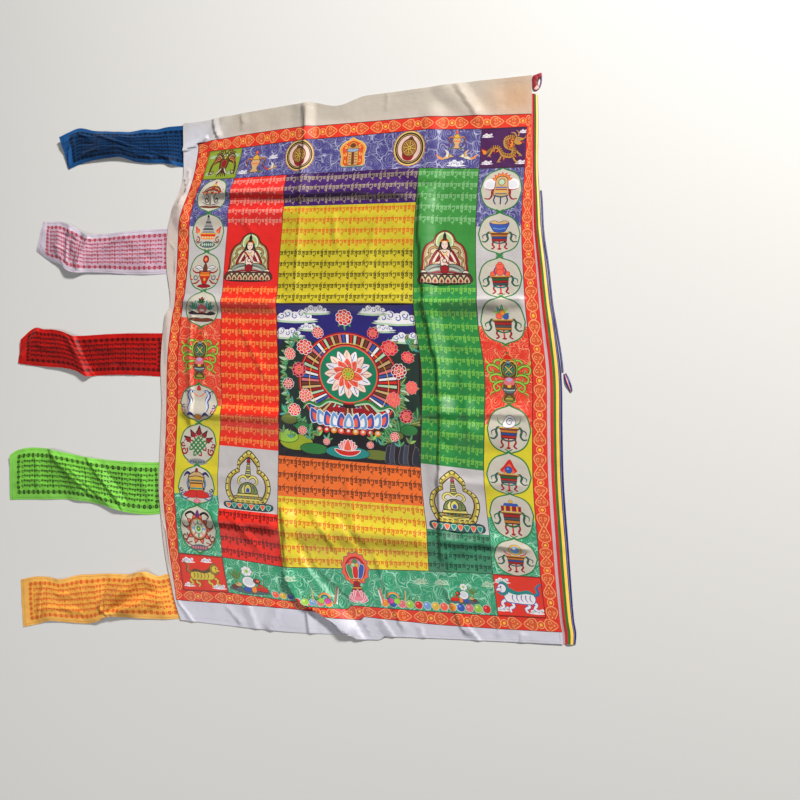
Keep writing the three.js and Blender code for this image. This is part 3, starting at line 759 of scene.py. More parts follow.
def open_lotus(p):
    p.at(0, -22).blob([(-27, 0), (-14, 3.4), (0, 2), (14, 3.4), (27, 0), (13, -3.8), (-13, -3.8)], BROWN, DARK, 0.7)
    p.blob([(-31, -9), (-20, -4), (-10, -8), (0, -4.5), (10, -8), (20, -4), (31, -9), (20, -13), (0, -12), (-20, -13)], DARK)
    p.sides(lambda q: q.stroke([(4, -15), (15, -17), (25, -13)], 1.3, CREAM, 3, 0.4))
    p.sides(lambda q: [leaf(q.at(13, 0, turn=0.45 + 0.55 * k), 19, 8, (TEAL, GREEN, TEAL)[k], MINT) for k in range(3)])
    for k in (-2, 2, -1, 1, 0):
        q = p.at(0, -4, turn=-0.42 * k)
        q.blob([(-4.8, 0), (-5.4, 7), (0, 15 - abs(k)), (5.4, 7), (4.8, 0)], (ROSE, PINK, CORAL)[abs(k)], CRIMSON, 0.8)
    p.oval(0, -2, 6.5, 3.4, CREAM, CRIMSON, 0.7, n=12)
    for k in range(5):
        leaf(p.at(0, 13, turn=math.pi * (0.12 + 0.19 * k)), 13 - abs(k - 2), 5, DARK if k % 2 else GREEN)
    p.oval(0, 22, 3, 3, CRIMSON, DARK, 0.6, n=10)


def fishes(p):
    def one(q):
        path = [(9, 22), (16, 23), (20, 15), (15, 4), (19, -8), (15, -19)]
        q.stroke(path, 8.4, NAVY, 3, 0.25, 0.5)
        q.stroke([(x - 0.6, y) for x, y in path], 4.6, rgb(170, 184, 218), 3, 0.25, 0.5)
        q.stroke([(x - 1.8, y - 1) for x, y in path], 1.5, WHITE, 3, 0.4, 0.5)
        q.oval(12.4, 22.6, 1.3, 1.2, DARK, n=6)
        q.blob([(14, -17), (23, -26), (15, -23.4), (7, -27)], NAVY, parts=3)
        q.stroke([(19, 20), (27, 24), (27, 17)], 1.9, NAVY, 3, 0.4)
        q.stroke([(10, 20), (5, 15), (0, 13.6)], 1.9, CORAL, 3, 0.6)
        for k in range(3):
            q.coil(30 + (k % 2) * 3, -18 + 6.4 * k, 4.6, 0.9, 2.1, (CRIMSON, ROSE, PURPLE)[k], start=2 + k, n=7)
    p.sides(one)
    p.blob([(-7, -26), (0, -33), (7, -26), (0, -22)], AMBER, BROWN, 0.9, 3)
    p.blob([(-4, 27), (0, 36), (4, 27), (0, 25)], RED, BROWN, 0.8, 3)


def knot(p):
    lotus_foot(p.at(0, -31, 0.9), 46, 11, GREY, SLATE, 6)
    flame(p.at(0, 14), 20, 6.4, (DARK, CRIMSON))
    for turn, x, y in ((-0.5, 9, 11), (-1.0, 16, 4)):
        p.sides(lambda q: flame(q.at(x, y, turn=turn), 17, 5.6, (DARK, CRIMSON)))
    for k in range(4):
        o = (k - 1.5) * 6.4
        reach = 16.5 - abs(o) * 0.42
        for turn in (math.pi / 4, -math.pi / 4):
            p.at(0, -3, turn=turn).poly([(-reach, o - 1.5), (reach, o - 1.5), (reach, o + 1.5), (-reach, o + 1.5)], GREEN)
    for a in range(4):
        q = p.at(0, -3, turn=math.pi / 4 + a * math.pi / 2)
        for o in (-6.4, 6.4):
            q.stroke([(13.5, o - 3.2), (17.5, o), (13.5, o + 3.2)], 2.6, (GREEN, CRIMSON)[a % 2], 3)
    p.sides(lambda q: q.coil(28, -13, 7.0, 1.25, 3.0, CRIMSON, start=2.4))
    p.sides(lambda q: q.coil(31, -2, 4.8, 1.0, 2.6, CRIMSON, start=3.6))
    p.sides(lambda q: q.stroke([(18, 2), (25, 6), (30, 3)], 2.4, CRIMSON, 3, 0.4))


def victory(p):
    def side(q):
        q.stroke([(11, 21), (19, 25), (26, 19)], 4.6, NAVY, 3, 0.4)
        q.stroke([(13, 20), (18, 9), (15, -4)], 4.4, NAVY, 3, 0.7)
        q.stroke([(14, 19), (18.6, 10), (16, 0)], 1.6, SKY, 3, 0.7)
        q.coil(27, -12, 6.4, 1.2, 2.6, BLUE, start=2.2)
        q.coil(31, -3, 4.2, 1.0, 2.2, NAVY, start=3.2)
        q.stroke([(14, -20), (24, -25), (33, -20)], 2.6, BLUE, 3, 0.3)
    p.sides(side)
    p.blob([(-15, 18), (-13, 6), (-12, -8), (12, -8), (13, 6), (15, 18), (0, 21)], GOLD, DARK, 1.4)
    for k, c in enumerate((SLATE, BROWN, AMBER, TEAL, CRIMSON)):
        p.poly([(-12.6, 13.6 - 4.4 * k), (12.6, 13.6 - 4.4 * k), (12.4, 10.8 - 4.4 * k), (-12.4, 10.8 - 4.4 * k)], c)
    p.blob([(-17, 18), (-9, 25), (0, 27), (9, 25), (17, 18), (0, 20)], SAND, DARK, 1.3)
    p.oval(0, 29, 2.8, 3.6, CRIMSON, DARK, 0.8, n=9)
    p.sides(lambda q: q.blob([(0, -6), (14, -5), (27, -15), (14, -21), (0, -19)], RED, CRIMSON, 1.2))
    p.stroke([(0, -15), (0, -25)], 1.8, BROWN, 1)
    p.blob([(-7, -29), (0, -23), (7, -29), (0, -33)], PINK, CRIMSON, 0.9)


def wheel_emblem(p):
    lotus_foot(p.at(0, -28, 0.9), 44, 10, SLATE, ROSE, 6)
    for k in range(10):
        flame(p.at(17 * math.cos(0.63 * k), 1 + 15.6 * math.sin(0.63 * k), turn=0.63 * k - math.pi / 2), 9, 4.6, (BROWN, CORAL))
    p.oval(0, 1, 19, 17.6, rgb(92, 34, 30))
    p.oval(0, 1, 17.0, 15.6, rgb(190, 120, 70), n=22)
    p.oval(0, 1, 14.4, 13.2, rgb(206, 206, 190), n=20)
    for k in range(8):
        a = k * math.pi / 4
        q = p.at(0, 1, turn=a)
        q.poly([(4, -2.4), (14.4, -1.0), (14.4, 1.0), (4, 2.4)], (SKY, ROSE, LEAF, PINK)[k % 4])
    p.oval(0, 1, 8.2, 7.6, MINT, GREEN, 0.8, n=14)
    p.oval(0, 1, 4.2, 3.9, GREEN, n=10)
    p.oval(0, 1, 1.8, 1.7, GOLD, n=7)

    def side(q):
        q.stroke([(5, 22), (14, 26), (24, 21), (20, 16)], 3.8, DARK, 4, 0.35)
        q.coil(28, -12, 6.6, 1.2, 2.9, BROWN, start=2.2)
        q.stroke([(20, 2), (28, 3), (32, 9)], 3.2, BROWN, 3, 0.4)
        q.stroke([(18, -8), (26, -20), (14, -25)], 2.6, CRIMSON, 3, 0.4)
        q.stroke([(14, -19), (24, -21), (33, -17)], 1.6, BROWN, 3, 0.3)
    p.sides(side)
    p.blob([(-4, 20), (0, 30), (4, 20)], PURPLE, DARK, 0.7)


def vase_banner(p):
    """The tall emblem on the red brocade: finial, knotted arch, pot, stand, ribbons."""
    def ribbons(q):
        for points in (
            [(10, 28), (18, 36), (27, 31), (23, 22), (15, 25)],
            [(15, 14), (28, 24), (41, 22), (40, 10), (30, 10), (33, 17)],
            [(13, 4), (25, 7), (37, 2), (35, -8), (25, -7), (28, 0)],
            [(10, -6), (22, -8), (31, -16), (26, -25), (18, -20), (24, -15)],
        ):
            q.stroke(points, 5.6, DARK, 3, 0.5)
            q.stroke(points, 3.6, LIME, 3, 0.5)
        q.stroke([(16, 19), (27, 28), (37, 27)], 1.5, OLIVE, 3, 0.4)
        q.stroke([(14, 8), (26, 12), (36, 7)], 1.4, GREEN, 3, 0.4)
        for k in range(2):
            q.stroke([(36 + 3 * k, 26 + 2 * k), (43, 30 + 3 * k), (44 - 2 * k, 35)], 1.6, LIME, 3, 0.3)
            q.stroke([(30 - 3 * k, -26 - k), (37 - k, -30 - 2 * k), (35, -36 - k)], 1.8, (LIME, OLIVE)[k], 3, 0.3)
    p.sides(ribbons)
    outline = [(-13, 38), (-4, 44), (0, 53), (4, 44), (13, 38), (18, 22), (15, 4), (8, -2), (15, -16), (9, -28), (13, -44), (-13, -44), (-9, -28), (-15, -16), (-8, -2), (-15, 4), (-18, 22)]
    p.blob(outline, LIME, DARK, 1.1, 3)
    p.blob([(x * 0.87, y * 0.965) for x, y in outline], BROWN, parts=3)
    p.blob([(-10, 39), (0, 48), (10, 39), (0, 36)], RED, AMBER, 1.0)
    p.oval(0, 17, 14, 15, OLIVE, DARK, 1.0)
    p.oval(0, 17, 10.6, 11.6, NAVY, n=16)
    for t in (math.pi / 4, -math.pi / 4):
        for o in (-4.2, 0, 4.2):
            q = p.at(0, 16.5, turn=t)
            q.poly([(-9.4, o - 1.0), (9.4, o - 1.0), (9.4, o + 1.0), (-9.4, o + 1.0)], (LEAF, GOLD)[o == 0])
    p.sides(lambda q: q.stroke([(2, 32), (9, 34), (14, 27)], 2.6, GOLD, 3, 0.5))
    p.oval(0, 31, 3.2, 2.6, SKY, DARK, 0.6, n=9)
    p.blob([(-5, 1), (-11, -6), (-8, -13), (8, -13), (11, -6), (5, 1)], ROSE, CRIMSON, 0.8)
    p.blob([(-6, -3), (0, 1), (6, -3), (0, -7)], LILAC)
    p.poly([(-4, -13), (4, -13), (3, -18), (-3, -18)], GOLD)
    p.blob([(-13, -18), (-11, -25), (-5, -29), (5, -29), (11, -25), (13, -18), (0, -20)], SLATE, DARK, 0.8)
    p.stroke([(-11, -22), (0, -23.4), (11, -22)], 1.6, MINT, 3)
    p.blob([(-9, -41), (-5, -35), (0, -31), (5, -35), (9, -41), (0, -43)], OLIVE, DARK, 0.8)
    p.stroke([(-7, -38.4), (7, -38.4)], 1.3, GOLD, 1)


def stand(p, drape, skirt):
    """The small red-legged table under each treasure in the right column."""
    drape = tuple(0.62 * c for c in drape)
    skirt = [tuple(0.62 * v for v in c) for c in skirt]

    def side(q):
        arm = [(13, 1), (20, 3), (23, -3), (21, -10), (26, -16), (33, -15)]
        q.stroke(arm, 4.0, DARK, 3, 0.5)
        q.stroke(arm, 2.8, rgb(34, 92, 76), 3, 0.5)
        q.stroke([(24, 0), (31, -4), (30, -10)], 2.2, drape, 3, 0.4)
        q.stroke([(10, -14), (13, -21), (9.5, -27), (15, -31)], 3.4, CRIMSON, 3, 0.8)
    p.sides(side)
    p.poly([(-1.5, -13), (1.5, -13), (1.5, -29), (-1.5, -29)], RED)
    p.oval(0, -30.5, 4.2, 2.0, CRIMSON, n=8)
    p.stroke([(-13, -16), (0, -19), (13, -16)], 2.8, drape, 3)
    p.poly([(-15.4, 0), (15.4, 0), (13.6, -15.4), (-13.6, -15.4)], DARK)
    for k, c in enumerate(skirt):
        y = -1.4 - 4.5 * k
        p.poly([(-14.4 + 0.5 * k, y), (14.4 - 0.5 * k, y), (14.1 - 0.5 * k, y - 3.4), (-14.1 + 0.5 * k, y - 3.4)], c)
    p.poly([(-19, 4), (19, 4), (17, -0.6), (-17, -0.6)], BROWN)
    p.stroke([(-18, 3), (18, 3)], 1.5, GOLD, 1)


def throne(p):
    p.sides(lambda q: q.oval(21, 10, 12.5, 11.5, WHITE, n=18))
    p.sides(lambda q: q.oval(21, 10, 8, 7, rgb(222, 222, 228), n=12))
    p.sides(lambda q: q.stroke([(12, 1), (17, -2), (17, -11), (22, -17), (31, -16)], 3.6, CRIMSON, 4, 0.5))
    p.sides(lambda q: q.stroke([(11, 2), (22, 0), (30, 3)], 2.0, CRIMSON, 3, 0.5))
    for k in range(7):
        a = math.pi * (0.1 + 0.8 * k / 6)
        flame(p.at(12 * math.cos(a), 17 + 9 * math.sin(a), turn=a - math.pi / 2), 8, 3.4, (RED, AMBER))
    p.blob([(-10, 22), (-12, 8), (-13, -10), (13, -10), (12, 8), (10, 22), (0, 26)], SAND, BROWN, 1.4)
    p.oval(0, 15, 6, 6, MINT, BROWN, 1.2, n=14)
    for y, c in ((5, BLUE), (1, CRIMSON), (-3, GOLD), (-7, SLATE)):
        p.stroke([(-11, y), (11, y)], 1.9, c, 1)
    p.stroke([(-14, -10), (0, -13), (14, -10)], 3.0, SLATE, 3)
    p.sides(lambda q: q.stroke([(11, -12), (13, -20), (9, -27)], 2.4, NAVY, 3, 0.8))
    p.stroke([(0, -13), (0, -27)], 2.4, NAVY, 1)


def treasure(p, which):
    if which == 0:
        throne(p)
        return
    stand(p, (GREEN, SLATE, TEAL)[which % 3], ((RED, SLATE, AMBER), (AMBER, BLUE, RED), (GREEN, RED, SLATE))[which % 3])
    q = p.at(0, 3)
    if which == 1:      # a wide blue bowl
        q.blob([(-18, 19), (-14, 8), (-8, 1), (8, 1), (14, 8), (18, 19), (0, 16)], BLUE, NAVY, 0.9)
        q.blob([(-18, 20), (-9, 23), (0, 20), (9, 23), (18, 20), (9, 16.4), (-9, 16.4)], SAND, DARK, 0.8)
        q.stroke([(-12, 9), (0, 6.8), (12, 9)], 1.6, SKY, 3)
    elif which == 2:    # a red mound of jewels
        for x, y, r in ((-13, 5, 5), (13, 5, 5), (-6, 10, 6), (6, 10, 6), (0, 19, 8), (0, 8, 7)):
            q.oval(x, y, r, r * 0.95, CORAL, CRIMSON, 0.8, n=14)
        q.sides(lambda s: s.stroke([(8, 2), (10, 14), (6, 18)], 1.8, PURPLE, 3))
        q.oval(0, 26, 4, 3, CORAL, CRIMSON, 0.7, n=10)
    elif which == 3:    # a leafy branch
        for k in range(5):
            leaf(q.at(-2, 4, turn=0.4 + 0.52 * k), 20 - 2 * abs(k - 2), 8, (TEAL, LIME, LEAF, TEAL, LIME)[k], MINT)
        q.oval(-6, 6, 6, 5, CORAL, BROWN, 0.7, n=12)
        q.oval(6, 5, 5, 4.6, BLUE, NAVY, 0.7, n=12)
        q.oval(0, 11, 4.6, 4.4, AMBER, BROWN, 0.7, n=12)
    elif which == 4:    # a white shell
        q.blob([(-12, 4), (-8, 14), (0, 21), (9, 17), (12, 8), (5, 1), (-6, 0)], WHITE, SLATE, 1.0)
        q.coil(1, 10, 7, 1.4, 1.4, SLATE, start=0.4)
        q.sides(lambda s: s.stroke([(11, 4), (19, 9), (21, 17)], 2.2, LEAF, 3, 0.3))
    elif which == 5:    # a flaming jewel
        flame(q.at(0, 0), 27, 15, (RED, CORAL, GOLD))
        q.oval(0, 8, 6.4, 6.4, BLUE, NAVY, 0.8, n=14)
        q.oval(-1.4, 10, 2, 2, SKY, n=7)
    elif which == 6:    # a wrapped book
        q.poly([(-18, 2), (18, 2), (18, 12), (-18, 12)], CRIMSON)
        for x in (-11, 0, 11):
            q.poly([(x - 1.6, 2), (x + 1.6, 2), (x + 1.6, 12), (x - 1.6, 12)], GOLD)
        q.poly([(-14, 12), (14, 12), (12, 18), (-12, 18)], BLUE)
        q.oval(0, 21.5, 3.6, 3.6, GOLD, BROWN, 0.7, n=10)
    else:               # a round mirror
        q.oval(0, 14, 11.5, 11.5, GOLD, BROWN, 0.9, n=20)
        q.oval(0, 14, 8.4, 8.4, SKY, n=18)
        q.oval(-2, 17, 3.6, 2.6, WHITE, n=10)
        q.sides(lambda s: s.stroke([(8, 2), (17, 5), (21, 13)], 2.4, RED, 3, 0.3))


def cloud(p, body=WHITE, line=LILAC, lobes=4, size=1.0):
    q = p.at(0, 0, size)
    for k in range(lobes):
        x = (k - (lobes - 1) / 2) * 6.4
        r = 5.2 - abs(k - (lobes - 1) / 2) * 0.9
        q.oval(x, (k % 2) * 2.6, r, r * 0.82, body, n=11)
    q.blob([(-lobes * 4.4, -3), (0, -1), (lobes * 4.4, -3), (0, -5)], body, parts=3)
    for k in range(lobes):
        x = (k - (lobes - 1) / 2) * 6.4
        q.coil(x, (k % 2) * 2.4, 3.2, 0.9, 0.9, line, start=3.4 - 0.6 * k, n=7)


def striding_beast(p, body, dark, mane, tail):
    """A four-footed beast bounding along, for the corner squares."""
    q = p
    for path in ([(-16, -4), (-24, -9), (-20, -14), (-26, -18)], [(-10, -6), (-13, -12), (-7, -15), (-10, -20)],
                 [(13, -5), (10, -12), (16, -15), (15, -20)], [(19, -3), (27, -8), (25, -13), (31, -16)]):
        q.stroke(path, 5.4, dark, 3, 0.6)
        q.stroke(path, 3.6, body, 3, 0.6)
    for dx, c in ((0, dark), (1, tail)):
        q.stroke([(-20 + dx, 3), (-28 + dx, 6), (-26 + dx, 14), (-33 + dx, 20)], 4.6 - 2.0 * dx, c, 4, 0.5)
    q.blob([(-23, 1), (-13, 9), (2, 6), (14, 11), (23, 5), (20, -6), (6, -8), (-8, -9), (-20, -8)], body, dark, 1.1)
    q.blob([(-22, 4), (-13, 10), (2, 7.5), (14, 12), (17, 7), (4, 3), (-10, 5)], mane)
    for k in range(5):
        q.stroke([(-16 + 6.5 * k, 3), (-15 + 6.5 * k, -2), (-18 + 6.5 * k, -6)], 1.3, dark, 3, 0.4)
    for k in range(9):
        a = 0.9 + 0.55 * k
        r = q.at(24 + 6 * math.cos(a), 11 + 6 * math.sin(a), turn=a)
        flame(r, 8, 3.4, (mane, tail))
    q.oval(25, 11, 6.6, 6.2, body, dark, 0.9, n=12)
    q.blob([(27, 12), (33, 10), (33, 6.4), (27, 6)], body, dark, 0.8, 2)
    q.oval(26.4, 13, 1.2, 1.3, DARK, n=6)
    q.blob([(27.5, 7.2), (32.4, 7.8), (31, 5.6)], RED, parts=2)


def garuda(p):
    """A winged beast with its wings spread, for a corner square."""
    def wing(q):
        for k in range(6):
            q.stroke([(4, 9), (15 + 2.6 * k, 22 - 4.4 * k), (25 + 1.6 * k, 20 - 8.6 * k)], 6.0, (rgb(116, 92, 56), rgb(64, 50, 36))[k % 2], 3, 0.4)
        for k in range(3):
            q.stroke([(9, 11 - k), (16 + 3 * k, 17 - 6 * k), (24 + 2.6 * k, 14 - 10 * k)], 1.5, (SAND, CORAL, AMBER)[k], 3, 0.4)
        q.coil(12, 23, 4.4, 1.0, 1.8, DARK, start=0.4, n=7)
    p.sides(wing)
    p.blob([(-10, 10), (-11, 0), (-7, -12), (7, -12), (11, 0), (10, 10)], BROWN, DARK, 1.4)
    p.blob([(-5, 6), (-5.4, -6), (5.4, -6), (5, 6)], CRIMSON, OLIVE, 1.0)
    p.oval(0, 15, 7.4, 7, OLIVE, DARK, 1.4, n=12)
    p.poly([(-2.8, 14), (2.8, 14), (0, 8.6)], GOLD)
    p.sides(lambda q: q.oval(3.2, 17, 1.5, 1.6, CREAM, n=6))
    p.sides(lambda q: q.stroke([(4, -10), (9, -17), (15, -21)], 4.4, DARK, 3, 0.6))
    p.sides(lambda q: q.stroke([(4, -10), (9, -17), (14.6, -20.6)], 2.4, CREAM, 3, 0.6))
    p.sides(lambda q: q.stroke([(2, 20), (6, 27), (12, 25)], 3.0, BROWN, 3, 0.4))
    for k in range(5):
        p.stroke([(0, -10), (-8 + 4 * k, -20), (-12 + 6 * k, -27)], 3.0, (DARK, BROWN)[k % 2], 3, 0.4)
    p.sides(lambda q: q.coil(28, -17, 6, 1.1, 2.6, BROWN, start=2.5))


def dragon(p):
    path = smooth([(26, 13), (18, 21), (6, 17), (8, 5), (22, -1), (19, -12), (2, -10), (-7, 2), (-20, 2), (-32, -8)], False, 4)
    copper, bronze = rgb(128, 72, 30), rgb(190, 140, 66)
    for k in range(3, len(path) - 2, 4):
        way = path[k + 1] - path[k - 1]
        flame(p.at(*path[k], turn=math.atan2(way[1], way[0])), 11, 3.4, (CRIMSON, AMBER))
    for x, y, dx in ((20, -13, 9), (0, -10, -6), (-18, 1, -7), (24, 0, 11)):
        p.stroke([(x, y), (x + dx * 0.6, y - 8), (x + dx, y - 10)], 5.0, DARK, 3, 0.6)
        p.stroke([(x, y), (x + dx * 0.6, y - 8), (x + dx, y - 10)], 3.2, bronze, 3, 0.6)
        for k in (-1, 0, 1):
            p.stroke([(x + dx, y - 10), (x + dx + 3.2 * k + 1, y - 14)], 1.3, bronze, 1)
    p.stroke(path, 11.0, DARK, 1, 0.3, 0.7)
    p.stroke(path, 8.8, bronze, 1, 0.3, 0.7)
    p.stroke(path + (0.8, 0.8), 5.6, copper, 1, 0.3, 0.7)
    for k in range(1, len(path) - 5):
        way = path[k + 1] - path[k - 1]
        p.at(*path[k], turn=math.atan2(way[1], way[0])).poly([(-0.7, -4.2), (0.7, -4.2), (0.2, 2.4), (-1.0, 2.4)], bronze)
    # head, with horns, mane and whiskers
    for k in range(4):
        flame(p.at(24 - 1.6 * k, 15 - 3 * k, turn=1.2 + 0.35 * k), 11, 2.8, (CRIMSON, AMBER))
    p.blob([(21, 12), (24, 20), (31, 21), (40, 18), (41, 14), (34, 13), (39, 9), (33, 6), (25, 7)], bronze, DARK, 1.4)
    p.stroke([(33, 12), (40, 11.4), (44, 9)], 1.6, RED, 3, 0.4)
    p.oval(30, 16.4, 1.5, 1.4, CREAM, DARK, 1.0, n=7)
    p.stroke([(27, 21), (22, 28), (15, 29)], 2.4, bronze, 3, 0.3)
    p.stroke([(30, 22), (30, 29), (25, 33)], 2.0, bronze, 3, 0.3)
    p.stroke([(40, 17), (46, 20), (47, 26)], 1.5, AMBER, 3, 0.4)
    flame(p.at(-31, -7, turn=0.9), 15, 5, (CRIMSON, AMBER))


def big_wheel(p, r=35.0, tilt=0.0):
    q = p.at(0, 0, turn=tilt)
    for k in range(30):
        a = 2 * math.pi * k / 30
        q.oval((r - 1.5) * math.cos(a), (r - 1.5) * math.sin(a), 1.9, 1.9, rgb(206, 110, 60), n=6)
    rings = ((0.97, rgb(196, 128, 66)), (0.935, rgb(222, 204, 124)), (0.875, rgb(52, 28, 24)), (0.785, rgb(204, 180, 90)),
             (0.76, rgb(96, 26, 28)), (0.705, rgb(230, 196, 184)))
    for f, c in rings:
        q.oval(0, 0, r * f, r * f, c, n=36)
    q.blob([(-12, -10), (-9, -20), (0, -23), (9, -20), (12, -10), (0, -14)], CRIMSON, BROWN, 1.0, 3)
    q.oval(0, 1, r * 0.46, r * 0.49, rgb(96, 62, 32), BROWN, 1.4, n=26)
    q.blob([(-7, 15), (0, 23), (7, 15), (0, 13)], rgb(96, 62, 32), BROWN, 0.8)
    for k in range(8):
        s = q.at(0, 1, turn=k * math.pi / 4)
        s.poly([(3, -1.3), (12.6, -0.9), (12.6, 0.9), (3, 1.3)], rgb(206, 166, 84))
        s.oval(9.4, 3.5, 1.9, 1.9, rgb(196, 132, 66), n=6)
    q.oval(0, 1, 13.6, 13.6, None, rgb(196, 152, 70), 1.4, n=22)
    q.oval(0, 1, 4.4, 4.4, GOLD, BROWN, 0.8, n=12)
    q.oval(0, 1, 1.9, 1.9, GREEN, n=8)


def flame_arch(p):
    """The upright emblem between the two wheels."""
    brass = rgb(214, 148, 62)
    p.blob([(-24, -29), (-27, -8), (-31, 10), (-20, 22), (-8, 27), (0, 32), (8, 27), (20, 22), (31, 10), (27, -8), (24, -29)], rgb(240, 150, 66), rgb(222, 196, 110), 2.0)
    p.blob([(-19, -27), (-21, -6), (-24, 9), (-14, 19), (0, 24), (14, 19), (24, 9), (21, -6), (19, -27)], rgb(226, 82, 40), BROWN, 1.0)
    p.sides(lambda q: [q.coil(x, y, 4.2, 1.0, 1.8, rgb(252, 186, 96), start=s) for x, y, s in ((17, 12, 1.2), (19, -4, 2.0), (17, -18, 2.6))])
    p.blob([(-12, -26), (-13, -4), (-13, 12), (0, 18), (13, 12), (13, -4), (12, -26)], brass, BROWN, 1.2)
    p.sides(lambda q: q.poly([(4, -27), (10, -27), (9.4, 4), (4.6, 4)], SAND))
    p.sides(lambda q: [q.stroke([(4.4, -22 + 6 * k), (9.8, -22 + 6 * k)], 1.6, BROWN, 1) for k in range(5)])
    p.poly([(-3.4, -27), (3.4, -27), (3.0, 6), (-3.0, 6)], BROWN)
    p.blob([(-15, 5), (-6, 9), (0, 7), (6, 9), (15, 5), (6, 1), (-6, 1)], rgb(150, 170, 190), NAVY, 0.9)
    p.blob([(-8, 13), (-4, 20), (4, 20), (8, 13), (0, 9)], BROWN, GOLD, 1.0)
    p.poly([(-26, -29), (26, -29), (28, -33), (-28, -33)], SLATE)
    p.stroke([(-26, -30), (26, -30)], 1.0, MINT, 1)


def small_bird(p, colours):
    p.stroke([(-9, -2), (-3, 1), (4, 2)], 6.4, DARK, 3, 0.7, 0.3)
    p.stroke([(-9, -2), (-3, 1), (4, 2)], 4.8, colours[0], 3, 0.7, 0.3)
    p.stroke([(-1, 2), (1, 9), (-4, 14)], 4.6, colours[1], 3, 0.3)
    p.stroke([(-9, -1), (-15, 1), (-20, 6)], 3.4, colours[2], 3, 0.4)
    p.oval(6, 4, 3.4, 3.2, colours[0], DARK, 0.8, n=9)
    p.poly([(8.8, 4.4), (13, 3.2), (8.8, 2.0)], GOLD)


def urn(p):
    """A small covered urn with ribbons, for the top band."""
    def side(q):
        q.stroke([(6, 4), (15, 9), (21, 3), (16, -4), (24, -10)], 3.2, BROWN, 3, 0.4)
        q.stroke([(6, 5), (15, 10), (20, 4)], 1.5, AMBER, 3, 0.4)
        q.stroke([(3, -14), (12, -18), (22, -16)], 2.6, OLIVE, 3, 0.4)
    p.sides(side)
    p.blob([(-6, 8), (-10, 0), (-5, -10), (-9, -17), (9, -17), (5, -10), (10, 0), (6, 8)], SAND, BROWN, 1.4, 3)
    p.stroke([(-8, -1), (8, -1)], 2.0, CORAL, 1)
    p.blob([(-8, 8), (-4, 14), (0, 16), (4, 14), (8, 8), (0, 6)], GOLD, BROWN, 1.2, 3)
    p.oval(0, 20, 3.4, 4.0, CORAL, BROWN, 1.0, n=10)


